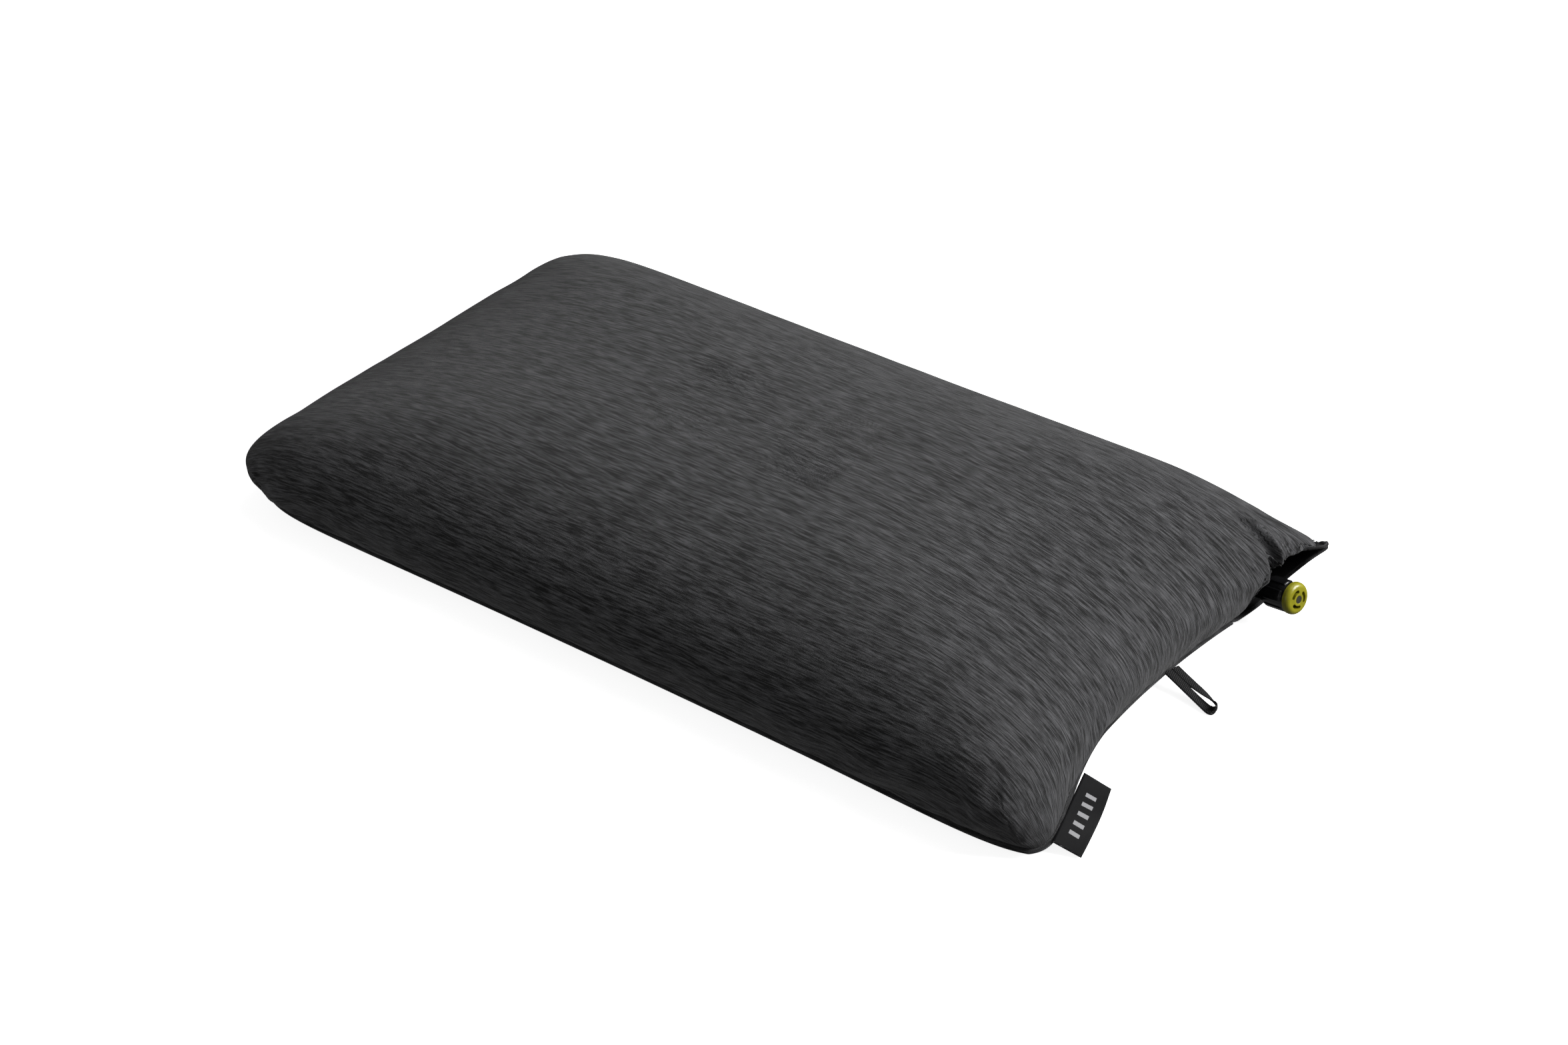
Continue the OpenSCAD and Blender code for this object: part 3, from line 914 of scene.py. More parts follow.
def dress(obj: bpy.types.Object, body: Body, material: bpy.types.Material, slot: str,
          *nodes: str) -> bpy.types.Object:
    """Finishes a piece: material, body, and the CAD nodes that it stands for.

    Args:
        obj: the piece.
        body: body it rides on.
        material: its material.
        slot: the record's material slot; not used.
        nodes: CAD nodes that it replaces.
    Returns:
        The piece.
    """
    obj.data.materials.clear()
    obj.data.materials.append(material)
    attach(obj, body.value)
    if nodes:
        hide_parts(*nodes)
    LOG.info("%s rides on %s, %d vertices", obj.name, body.value, len(obj.data.vertices))
    return obj


def modifier(obj: bpy.types.Object, kind: str, **settings: Any) -> bpy.types.Modifier:
    """Adds a modifier.

    Args:
        obj: the piece.
        kind: modifier type.
        settings: its settings.
    Returns:
        The modifier.
    """
    mod = obj.modifiers.new(kind.lower(), kind)
    for key, value in settings.items():
        setattr(mod, key, value)
    return mod


# ---------------------------------------------------------------- the pillow's form


@dataclass(frozen=True)
class PillowForm:
    """Outline, crown, curl and corner shapes that every layer of the pillow shares.

    Args:
        half_l: half the filled length.
        half_w: half the filled width.
        height: height of the crown.
        belly: height of the widest line.
        end_waist: how far the valve end pulls in at mid width.
        long_waist: how far each long side pulls in at mid length.
        curl: how far the flat underside stops short of the widest line.
        corner_power: squareness of the corners seen from above.
        crown_power: fullness of the crown.
        side_power: steepness of the sides.
        seam_h: height of the side seam.
        welt: thickness of the rolled side seam.
        ear_out: length of the empty ear at the label corner.
        ear_reach: how far the ear reaches back.
        port_start: distance from the widest long side to the port mouth.
        port_h: height of the upper hem.
        port_sill: height of the lower hem.
        tip_h: height of the hems' tip.
        tip_out: how far the tip stands out.
        tip_gap: how far the lower hem's tip stays behind the upper one's.
        gap: rest gap between the panels and the seam.
        hood_drop: fall of the cover from the widest line to the upper hem, over the port.
        port_rise: distance over which the side opens into the port.
        port_back: distance from the valve end to the far end of the port's opening.
        tip_reach: how far the upper hem's tip reaches back.
        under_tip_reach: how far the lower hem's tip reaches back.
        hem: thickness of the hem.
        tip_pull: share of the tip's reach that the widest line follows.
        crowd: how many more outline points lie beside the valve than elsewhere.
        crowd_span: where across the width the points crowd together.
        crowd_fade: distance over which the crowding fades.
        tip_flat: share by which the crown sinks at the tip.
        hood_power: how close to the widest line the hood stays.
        flat_power: how close to it the sinking stays.
        pull_power: how close to it the tip's pull stays.
        shut_turn: direction in degrees, seen from the middle, where the port's far side is shut.
        shut_fade: degrees over which it shuts.
    """

    half_l: float = 280 * MM
    half_w: float = 160 * MM
    height: float = 86 * MM
    belly: float = 30 * MM
    end_waist: float = 20 * MM
    long_waist: float = 4 * MM
    curl: float = 35 * MM
    corner_power: float = 12.0
    crown_power: float = 2.7
    side_power: float = 1.7
    seam_h: float = 8.5 * MM
    welt: float = 2.4 * MM
    ear_out: float = 20 * MM
    ear_reach: float = 110 * MM
    port_start: float = 67 * MM
    port_h: float = 31.2 * MM
    port_sill: float = 3.3 * MM
    tip_h: float = 36 * MM
    tip_out: float = 17 * MM
    tip_gap: float = 14 * MM
    gap: float = 0.3 * MM
    hood_drop: float = 2 * MM
    port_rise: float = 12 * MM
    port_back: float = 32 * MM
    tip_reach: float = 28 * MM
    under_tip_reach: float = 16 * MM
    hem: float = 1.6 * MM
    tip_pull: float = 0.6
    crowd: float = 3.2
    crowd_span: tuple[float, float] = (85 * MM, 140 * MM)
    crowd_fade: float = 14 * MM
    tip_flat: float = 0.35
    hood_power: int = 24
    flat_power: int = 6
    pull_power: int = 14
    shut_turn: float = 41.5
    shut_fade: float = 3.0

    @property
    def top_edge_h(self) -> float:
        """Returns: height of the top panel's edge."""
        return self.seam_h + self.welt / 2 + self.gap

    @property
    def under_edge_h(self) -> float:
        """Returns: height of the underside panel's edge."""
        return self.seam_h - self.welt / 2 - self.gap

    def rim(self, a: Array, b: Array) -> Array:
        """Points of the unit outline.

        Args:
            a: direction along the length.
            b: direction across the width.
        Returns:
            Outline points.
        """
        p = self.corner_power
        m = (np.abs(a) ** p + np.abs(b) ** p) ** (-1 / p)
        return np.stack([a * m, b * m], -1)

    def outline(self, dense: int) -> Array:
        """The unit outline, anticlockwise from the label corner, closer together at the corners.

        Args:
            dense: how many points for each of the CAD outline's.
        Returns:
            Outline points.
        """
        sides = {"valve": 40, "long": 20, "plain": 16}
        long, plain = (np.linspace(0, math.pi, sides[k] * dense, endpoint=False) for k in ("long", "plain"))
        fine = np.linspace(0, math.pi, 2001)
        y = -self.half_w * np.cos(fine)
        start, end = self.crowd_span
        crowd = 1 + self.crowd * ease((y - start) / self.crowd_fade) * ease((end - y) / self.crowd_fade)
        share = np.concatenate([[0], np.cumsum(0.5 * (crowd[1:] + crowd[:-1]))])
        count = sides["valve"] * dense
        valve = np.interp(np.arange(count) / count * share[-1], share, fine)
        one = np.ones_like
        return np.concatenate([self.rim(one(valve), -np.cos(valve)), self.rim(np.cos(long), one(long)),
                               self.rim(-one(plain), np.cos(plain)), self.rim(-np.cos(long), -one(long))])

    def plan(self, uv: Array, r: Array | float, inset: Array | float = 0.0) -> Array:
        """Plan position of outline points.

        Args:
            uv: outline points.
            r: scale towards the middle.
            inset: distance in from the widest line.
        Returns:
            Plan positions.
        """
        u, v = uv[..., 0] * r, uv[..., 1] * r
        pull = np.where(u > 0, self.end_waist / self.half_l, 0.0)
        x = (self.half_l - inset) * u * (1 - pull * (1 - v * v) * u * u)
        y = (self.half_w - inset) * v * (1 - self.long_waist / self.half_w * (1 - u * u) * v * v)
        return np.stack([x, y], -1)

    def lifted(self, p: Array, z: Array | float) -> Array:
        """Adds heights to plan positions.

        Args:
            p: plan positions.
            z: heights.
        Returns:
            Positions.
        """
        return np.concatenate([p, np.broadcast_to(np.asarray(z, float), p.shape[:-1])[..., None]], -1)

    def curl_angle(self, z: float) -> float:
        """Angle that the side has turned under at a height.

        Args:
            z: height below the widest line.
        Returns:
            The angle in radians.
        """
        return math.asin(1 - z / self.belly)

    def curl_point(self, uv: Array, angle: float) -> Array:
        """Positions below the widest line.

        Args:
            uv: outline points.
            angle: how far the side has turned under.
        Returns:
            Positions.
        """
        plan = self.plan(uv, 1.0, self.curl * (1 - math.cos(angle)))
        return self.lifted(plan, self.belly * (1 - math.sin(angle)))

    def ear_at(self, uv: Array) -> Array:
        """Weight of the label corner's ear, from 0 to 1.

        Args:
            uv: outline points.
        Returns:
            Weights.
        """
        corner = self.plan(self.rim(np.array(1.0), np.array(-1.0)), 1.0)
        return np.maximum(0, 1 - np.linalg.norm(self.plan(uv, 1.0) - corner, axis=-1) / self.ear_reach) ** 1.5

    def tip_at(self, uv: Array, reach: float) -> Array:
        """Weight of the valve corner's tip, from 0 to 1.

        Args:
            uv: outline points.
            reach: how far the tip reaches back.
        Returns:
            Weights.
        """
        corner = self.plan(self.rim(np.array(1.0), np.array(1.0)), 1.0)
        return ease(1 - np.linalg.norm(self.plan(uv, 1.0) - corner, axis=-1) / reach)

    def port_at(self, uv: Array) -> Array:
        """Weight of the valve port, from 0 to 1.

        Args:
            uv: outline points.
        Returns:
            Weights.
        """
        p = self.plan(uv, 1.0)
        return (ease((p[..., 1] - self.half_w + self.port_start) / self.port_rise)
                * ease((p[..., 0] - self.half_l + self.port_back) / (self.port_back / 2)))

    def dome(self, r: float, belly: Array | float) -> Array | float:
        """Height of the crown.

        Args:
            r: scale towards the middle.
            belly: height of the widest line.
        Returns:
            Heights.
        """
        return belly + (self.height - belly) * max(0.0, 1 - r ** self.crown_power) ** (1 / self.side_power)

    def crown(self, uv: Array, r: float) -> Array:
        """Ring of the crown, with the hood over the port and the tip.

        Args:
            uv: outline points.
            r: scale towards the middle.
        Returns:
            Positions.
        """
        hood = self.port_h + self.hood_drop - self.belly
        belly = self.belly + hood * self.port_at(uv) * r ** self.hood_power
        wide = self.tip_at(uv, 2 * self.tip_reach)
        z = belly + (self.dome(r, belly) - belly) * (1 - self.tip_flat * wide * r ** self.flat_power)
        p = self.lifted(self.plan(uv, r), z)
        p[:, 0] += self.tip_pull * self.tip_out * wide * r ** self.pull_power
        return p

    def top_skirt(self, uv: Array, f: float) -> Array:
        """Top panel below the widest line.

        Args:
            uv: outline points.
            f: 0 at the widest line and 1 at the panel's edge.
        Returns:
            Positions.
        """
        port, tip, ear = self.port_at(uv)[:, None], self.tip_at(uv, self.tip_reach), self.ear_at(uv)
        plain = self.curl_point(uv, f * self.curl_angle(self.top_edge_h))
        open_ = self.lifted(self.plan(uv, 1.0), self.port_h + self.hood_drop * (1 - f))
        move = np.stack([self.ear_out * ear + self.tip_out * tip, 0 * ear,
                         (self.tip_h - self.port_h) * tip - ear * self.seam_h / 3], -1)
        p = plain * (1 - port) + open_ * port + f * move
        p[:, 0] += (1 - f) * self.tip_pull * self.tip_out * self.tip_at(uv, 2 * self.tip_reach)
        return p

    def under_skirt(self, uv: Array, f: float) -> Array:
        """Underside panel outside its flat.

        Args:
            uv: outline points.
            f: 0 at the flat and 1 at the panel's edge.
        Returns:
            Positions.
        """
        port, tip, ear = self.port_at(uv), self.tip_at(uv, self.under_tip_reach), self.ear_at(uv)
        edge = self.curl_angle(self.under_edge_h)
        p = self.curl_point(uv, math.pi / 2 * (1 - f) + edge * f)
        p[:, 2] -= p[:, 2] * (1 - self.port_sill / self.under_edge_h) * port
        edge_in = self.curl * (1 - math.cos(edge))
        move = np.stack([self.ear_out * ear + (self.tip_out + edge_in - self.tip_gap) * tip, 0 * ear,
                         (self.tip_h - self.port_sill - 3 * self.hem) * tip - ear * self.seam_h / 3], -1)
        p = p + f ** 3 * move
        turn = np.degrees(np.arctan2(uv[:, 1], uv[:, 0]))
        back = (f ** 3 * port * ease((turn - self.shut_turn) / self.shut_fade) * (turn < 90))[:, None]
        return p * (1 - back) + (self.top_skirt(uv, 1.0) - np.array([0, 0, self.welt])) * back


# ---------------------------------------------------------------- cloth simulation


@dataclass(frozen=True)
class ClothRun:
    """Inflates a panel and keeps the wrinkles that form, not the swelling.

    Args:
        pressure: air pressure inside.
        slack: spare cloth, as a share of its length.
        frames: number of frames.
        cap: furthest that a point may move.
        sink: furthest that a point may move inwards.
        blur: passes that separate wrinkles from swelling.
        mass: mass of one vertex's cloth.
        stretch: resistance to stretching and squeezing.
        shear: resistance to shearing.
        bend: resistance to bending.
    """

    pressure: float = 4.0
    slack: float = 0.02
    frames: int = 20
    cap: float = 5 * MM
    sink: float = 2 * MM
    blur: int = 60
    mass: float = 0.2
    stretch: float = 12.0
    shear: float = 6.0
    bend: float = 0.4

    def run(self, obj: bpy.types.Object, shape: tuple[int, int], used: Array, held: Array,
            keep: Array) -> None:
        """Runs the cloth and writes the result to the mesh.

        Args:
            obj: the panel.
            shape: number of rings and vertices per ring of its grid.
            used: grid index of each vertex.
            held: weight from 0 to 1 with which each grid vertex is held.
            keep: share of the wrinkles that each grid vertex keeps.
        """
        total = shape[0] * shape[1]
        rest = np.empty(len(used) * 3)
        obj.data.vertices.foreach_get("co", rest)
        rest = rest.reshape(-1, 3)
        group = obj.vertex_groups.new(name="held")
        group.add([int(i) for i in np.flatnonzero(np.append(held, 0.0)[used] > 0.5)], 1.0, "REPLACE")
        cloth = obj.modifiers.new("cloth", "CLOTH")
        s = cloth.settings
        s.quality = 5
        s.mass = self.mass
        s.tension_stiffness = s.compression_stiffness = self.stretch
        s.shear_stiffness = self.shear
        s.bending_stiffness = self.bend
        s.use_pressure = True
        s.uniform_pressure_force = self.pressure
        s.shrink_min = -self.slack
        s.vertex_group_mass = "held"
        s.effector_weights.gravity = 0
        cloth.collision_settings.use_collision = False
        cloth.point_cache.frame_start = 1
        cloth.point_cache.frame_end = self.frames
        scene = bpy.context.scene
        for f in range(1, self.frames + 1):
            scene.frame_set(f)
        done = obj.evaluated_get(bpy.context.evaluated_depsgraph_get()).to_mesh()
        moved = np.empty(len(done.vertices) * 3)
        done.vertices.foreach_get("co", moved)
        move = np.zeros((total + 1, 3))
        move[used] = moved.reshape(-1, 3) - rest
        obj.modifiers.remove(cloth)
        obj.vertex_groups.remove(group)
        scene.frame_set(1)
        grid = move[:total].reshape(*shape, 3)
        broad = grid.copy()
        for _ in range(self.blur):
            ends = np.concatenate([broad[:1], broad, broad[-1:]])
            broad = 0.25 * (ends[:-2] + ends[2:] + np.roll(broad, 1, 1) + np.roll(broad, -1, 1))
        fine = grid - broad
        fine *= self.cap / (self.cap + np.linalg.norm(fine, axis=-1, keepdims=True))
        face = np.zeros((total + 1, 3))
        face[used] = np.array([v.normal for v in obj.data.vertices])
        face = face[:total].reshape(fine.shape)
        sunk = np.sum(fine * face, -1, keepdims=True)
        fine += (np.maximum(sunk, -self.sink) - sunk) * face
        change = np.vstack([(fine * keep.reshape(*shape, 1)).reshape(-1, 3), np.zeros(3)])
        obj.data.vertices.foreach_set("co", (rest + change[used]).ravel())
        obj.data.update()
        LOG.info("%s: cloth moved up to %.1f mm, kept %.1f mm", obj.name, np.abs(move).max() / MM,
                 np.abs(change).max() / MM)


# ---------------------------------------------------------------- cover


@dataclass(frozen=True)
class Ramp:
    """A smooth rise from 0 to 1 along one axis.

    Args:
        start: where it starts.
        width: distance over which it rises.
    """

    start: float
    width: float

    def at(self, value: Array) -> Array:
        """Returns: how far the ramp has risen at a value."""
        return ease((value - self.start) / self.width)


@dataclass(frozen=True)
class Fold:
    """One ridge or valley of a pleat.

    Args:
        off: distance from the pleat's line.
        width: half its width.
        high: height as a share of the pleat's depth, below 0 for a valley.
    """

    off: float
    width: float
    high: float


@dataclass
class Cover:
    """Knit top panel, woven underside, rolled side seam, port hem and its stitches.

    Args:
        form: the pillow's shared form.
        dense: outline points for each of the CAD outline's.
        crown_rings: rings over the crown.
        skirt_rings: rings below the widest line.
        thick: thickness of each panel.
        stitch: length of a stitch.
        stitch_gap: gap between stitches.
        stitch_in: distance of the hem's stitches from its edge.
        thread_r: radius of the thread.
        thread_lift: height of a stitch's middle above its ends.
        hem_w: width of the hem's fold.
        lip_w: width of the rolled seam.
        roll_lean: slope of the rolled seam.
        pleat_y: where the pleat's line meets the seam, across the width.
        pleat_lean: how far the line leans on its way up.
        pleat_deep: depth of its valley.
        pleat_rise: height where the line starts to lean, and the rise over which it leans.
        folds: ridges and valleys of the pleat.
        fold_from: where the folds form, along the length.
        fold_low: where they start above the seam.
        fold_high: where they end up the side.
        mouth_from: where the drawn-back part of the port's edge starts, across the width.
        mouth_to: where it ends, across the width.
        mouth_high: where it ends up the side.
        mouth_x: least distance along the length at which the edge is drawn back.
        mouth_back: how far the port's upper edge is drawn back.
        mouth_up: how far it is drawn up.
        still_rings: innermost rings that keep no wrinkles.
        flat_keep: share of the wrinkles that the crown keeps.
    """

    form: PillowForm = field(default_factory=PillowForm)
    dense: int = 4
    crown_rings: int = 40
    skirt_rings: int = 14
    thick: float = 1 * MM
    stitch: float = 2.3 * MM
    stitch_gap: float = 0.9 * MM
    stitch_in: float = 5.0 * MM
    thread_r: float = 0.30 * MM
    thread_lift: float = 0.16 * MM
    hem_w: float = 2.6 * MM
    lip_w: float = 4.6 * MM
    roll_lean: float = 0.35
    pleat_y: float = 106 * MM
    pleat_lean: float = 13 * MM
    pleat_deep: float = 5.5 * MM
    pleat_rise: tuple[float, float] = (15 * MM, 30 * MM)
    folds: tuple[Fold, ...] = (Fold(0, 3.4 * MM, -1.0), Fold(5.2 * MM, 1.8 * MM, 0.55),
                               Fold(-7.5 * MM, 3.0 * MM, 0.25), Fold(13.0 * MM, 3.2 * MM, -0.25))
    fold_from: Ramp = Ramp(225 * MM, 20 * MM)
    fold_low: Ramp = Ramp(9 * MM, 6 * MM)
    fold_high: Ramp = Ramp(46 * MM, 16 * MM)
    mouth_from: Ramp = Ramp(104 * MM, 10 * MM)
    mouth_to: Ramp = Ramp(136 * MM, 14 * MM)
    mouth_high: Ramp = Ramp(34 * MM, 16 * MM)
    mouth_x: float = 220 * MM
    mouth_back: float = 6.0 * MM
    mouth_up: float = 2.0 * MM
    still_rings: int = 6
    flat_keep: float = 0.10

    def __post_init__(self) -> None:
        """Works out the outline and both panels' grids."""
        self.uv = self.form.outline(self.dense)
        self.n = len(self.uv)
        self.top = self.pleated(self.top_rows())
        self.under = self.under_rows()

    def top_rows(self) -> Array:
        """Returns: the top panel's grid, from the middle outwards."""
        f = self.form
        crown = [f.crown(self.uv, math.sin(0.5 * math.pi * i / self.crown_rings))
                 for i in range(1, self.crown_rings)]
        skirt = [f.top_skirt(self.uv, k / self.skirt_rings) for k in range(self.skirt_rings + 1)]
        return np.stack(crown + skirt)

    def pleated(self, rows: Array) -> Array:
        """Folds the pleat beside the port into the top panel: a valley between two ridges.

        Args:
            rows: the panel's grid.
        Returns:
            The folded grid.
        """
        x, y, z = (rows[..., k] for k in range(3))
        base, rise = self.pleat_rise
        off = y - self.pleat_y - self.pleat_lean * np.clip((z - base) / rise, 0, 1.3)
        wave = self.pleat_deep * sum(fold.high * np.exp(-((off - fold.off) / fold.width) ** 2)
                                     for fold in self.folds)
        fade = self.fold_from.at(x) * self.fold_low.at(z) * (1 - self.fold_high.at(z))
        mouth = self.mouth_from.at(y) * (1 - self.mouth_to.at(y)) * (x > self.mouth_x)
        mouth = mouth * (1 - self.mouth_high.at(z))
        pull = np.stack([-self.mouth_back * mouth, 0 * mouth, self.mouth_up * mouth], -1)
        return rows + (fade * wave)[..., None] * grid_normals(rows, Side.CROWN) + pull

    def under_rows(self) -> Array:
        """Returns: the underside panel's grid, from the middle outwards."""
        f = self.form
        flat = f.under_skirt(self.uv, 0.0)
        inner = [flat * (r, r, 1.0) for r in np.linspace(0.1, 0.9, 9)]
        skirt = [f.under_skirt(self.uv, k / self.skirt_rings) for k in range(self.skirt_rings + 1)]
        return np.stack(inner + skirt)

    def build_top(self) -> None:
        """Builds the knit top panel."""
        rows = self.top
        count = len(rows)
        top, used = packed_disc("cover_top_knit", rows, np.array([0, 0, self.form.height]), Side.CROWN)
        ring = np.arange(count)
        held = np.where(ring >= count - 2, 1.0, 0.0)[:, None] * np.ones(self.n)
        low = ease((ring - self.crown_rings * 0.72) / (self.crown_rings * 0.25))
        away = 1 - 0.9 * self.form.port_at(self.uv)
        keep = (self.flat_keep + (1 - self.flat_keep) * low)[:, None] * away
        keep[-2:] = 0
        keep[:self.still_rings] = 0
        ClothRun().run(top, (count, self.n), used, held.ravel(), keep.ravel())
        modifier(top, "SOLIDIFY", thickness=self.thick, offset=-1.0)
        modifier(top, "SUBSURF", levels=1, render_levels=1)
        dress(top, Body.PILLOW, HeatherKnit().build(), "heather_knit", "cover_top")

    def build_underside(self) -> None:
        """Builds the woven underside panel."""
        rows = self.under
        under, _ = packed_disc("cover_underside_woven", rows, np.zeros(3), Side.UNDERSIDE)
        modifier(under, "SOLIDIFY", thickness=self.thick, offset=-1.0)
        modifier(under, "SUBSURF", levels=1, render_levels=1)
        dress(under, Body.PILLOW, PlainWoven().build(), "black_woven", "cover_underside")

    def edges(self) -> tuple[Array, Array, Array]:
        """Returns: the panels' edges and which outline points lie in the port."""
        return self.top[-1], self.under[-1], self.form.port_at(self.uv) > 0.02

    def off_edge(self, edge: Array, inside: Array) -> Array:
        """Direction that runs off a panel, square to its edge.

        Args:
            edge: the panel's edge.
            inside: points just inside it.
        Returns:
            One direction per edge point.
        """
        run = unit(np.roll(edge, -1, 0) - np.roll(edge, 1, 0))
        off = edge - inside
        return unit(off - np.sum(off * run, -1, keepdims=True) * run)

    def build_seam(self) -> None:
        """Builds the rolled side seam."""
        top, under, port = self.edges()
        plan = self.form.plan(self.uv, 1.0)
        run = np.roll(plan, -1, 0) - np.roll(plan, 1, 0)
        out = unit(np.stack([run[:, 1], -run[:, 0], 0 * run[:, 0]], -1))
        line = (top + under) / 2 + 0.28 * self.lip_w * out
        first, last = np.flatnonzero(port)[[0, -1]]
        keep = np.arange(last + 1, first + self.n) % self.n
        tilt = out[keep] + np.array([0, 0, -self.roll_lean])
        section = round_profile(self.lip_w, self.form.welt * 0.9, 14, 2.4)
        seam = sweep("side_seam_roll", line[keep], tilt, section)
        # Painted shade: the rolled seam is the top's knit at 0.55 brightness, darkened for the shade it sits
        # in below the crown.
        fabric = HeatherKnit(name="seam_fabric", painted_shade_factor=0.55)
        dress(seam, Body.PILLOW, fabric.build(), "seam_fabric", "side_seam")
        lift = np.array([0, 0, 1.0]) + self.roll_lean * out[keep]
        above = even_path(np.hstack([line[keep] + 0.4 * self.form.welt * unit(lift), lift]), 3000)
        self.build_stitches("seam_stitches", above[:, :3], unit(above[:, 3:]))

    def build_hem(self) -> None:
        """Builds the port's hem and its row of stitches."""
        top, under, port = self.edges()
        j = np.flatnonzero(port)
        f = self.form
        inner_top, inner_under = self.top[-3], self.under[-3]
        stand = 0.1 * f.hem
        up_off, low_off = self.off_edge(top, inner_top)[j], self.off_edge(under, inner_under)[j][::-1]
        line = np.vstack([top[j] + stand * up_off, under[j][::-1] + stand * low_off])
        off = np.vstack([up_off, low_off])
        hem = sweep("port_hem_fold", line, off, round_profile(self.hem_w, f.hem, 14, 2.6), closed=True)
        # Painted shade: the port's hem is the top's knit at 0.85 brightness.
        dress(hem, Body.PILLOW, HeatherKnit(name="hem_fabric_painted_shade", painted_shade_factor=0.85).build(), "seam_fabric", "port_hem")
        row, up = self.inside_edge(j, self.stitch_in)
        line = even_path(np.hstack([row + 0.3 * MM * up, up]), 400)
        self.build_stitches("hem_stitches", line[:, :3], line[:, 3:])

    def inside_edge(self, j: Array, reach: float) -> tuple[Array, Array]:
        """Line on the top panel at one distance in from its edge.

        Args:
            j: outline points to follow.
            reach: distance in from the edge, along the cloth.
        Returns:
            Points of the line, and the panel's outward direction at each.
        """
        normal = grid_normals(self.top, Side.CROWN)
        line, up = [], []
        for k in j:
            path, face = self.top[::-1, k], normal[::-1, k]
            run = run_length(path)
            line.append([np.interp(reach, run, path[:, c]) for c in range(3)])
            up.append([np.interp(reach, run, face[:, c]) for c in range(3)])
        return np.array(line), unit(np.array(up))

    def build_stitches(self, name: str, path: Array, up: Array, sides: int = 6, rings: int = 5) -> None:
        """Builds a row of thread stitches.

        Args:
            name: piece name.
            path: line of the stitches.
            up: the cloth's outward direction along it.
            sides: points around the thread.
            rings: rings along a stitch.
        """
        step = np.linalg.norm(np.diff(path, axis=0), axis=1).mean()
        pitch = self.stitch + self.stitch_gap
        count = int(len(path) * step / pitch)
        around = np.linspace(0, 2 * math.pi, sides, endpoint=False)
        points, faces = [], []
        for c in range(count):
            ids = (np.linspace(c * pitch, c * pitch + self.stitch, rings) / step).astype(int)
            ids = np.minimum(ids, len(path) - 1)
            if ids[-1] == ids[0]:
                continue
            run = unit(path[ids[-1]] - path[ids[0]])
            wide = unit(np.cross(run, up[ids[0]]))
            high = np.cross(wide, run)
            for k, i in enumerate(ids):
                t = 2 * k / (rings - 1) - 1
                r = self.thread_r * math.sqrt(max(0.12, 1 - t ** 4))
                mid = path[i] + high * self.thread_lift * (1 - t * t)
                points.append(mid + r * (np.cos(around)[:, None] * wide + np.sin(around)[:, None] * high))
            base = (len(points) - rings) * sides
            faces += ring_faces(base, rings, sides) + cap_faces(base, rings, sides)
        thread = make_mesh(name, np.vstack(points), faces)
        dress(thread, Body.PILLOW, TwistedThread().build(), "seam_fabric")

    def build(self) -> "Cover":
        """Builds every piece of the cover.

        Returns:
            The cover.
        """
        self.build_top()
        self.build_underside()
        self.build_seam()
        self.build_hem()
        return self


# ---------------------------------------------------------------- bladder and foam


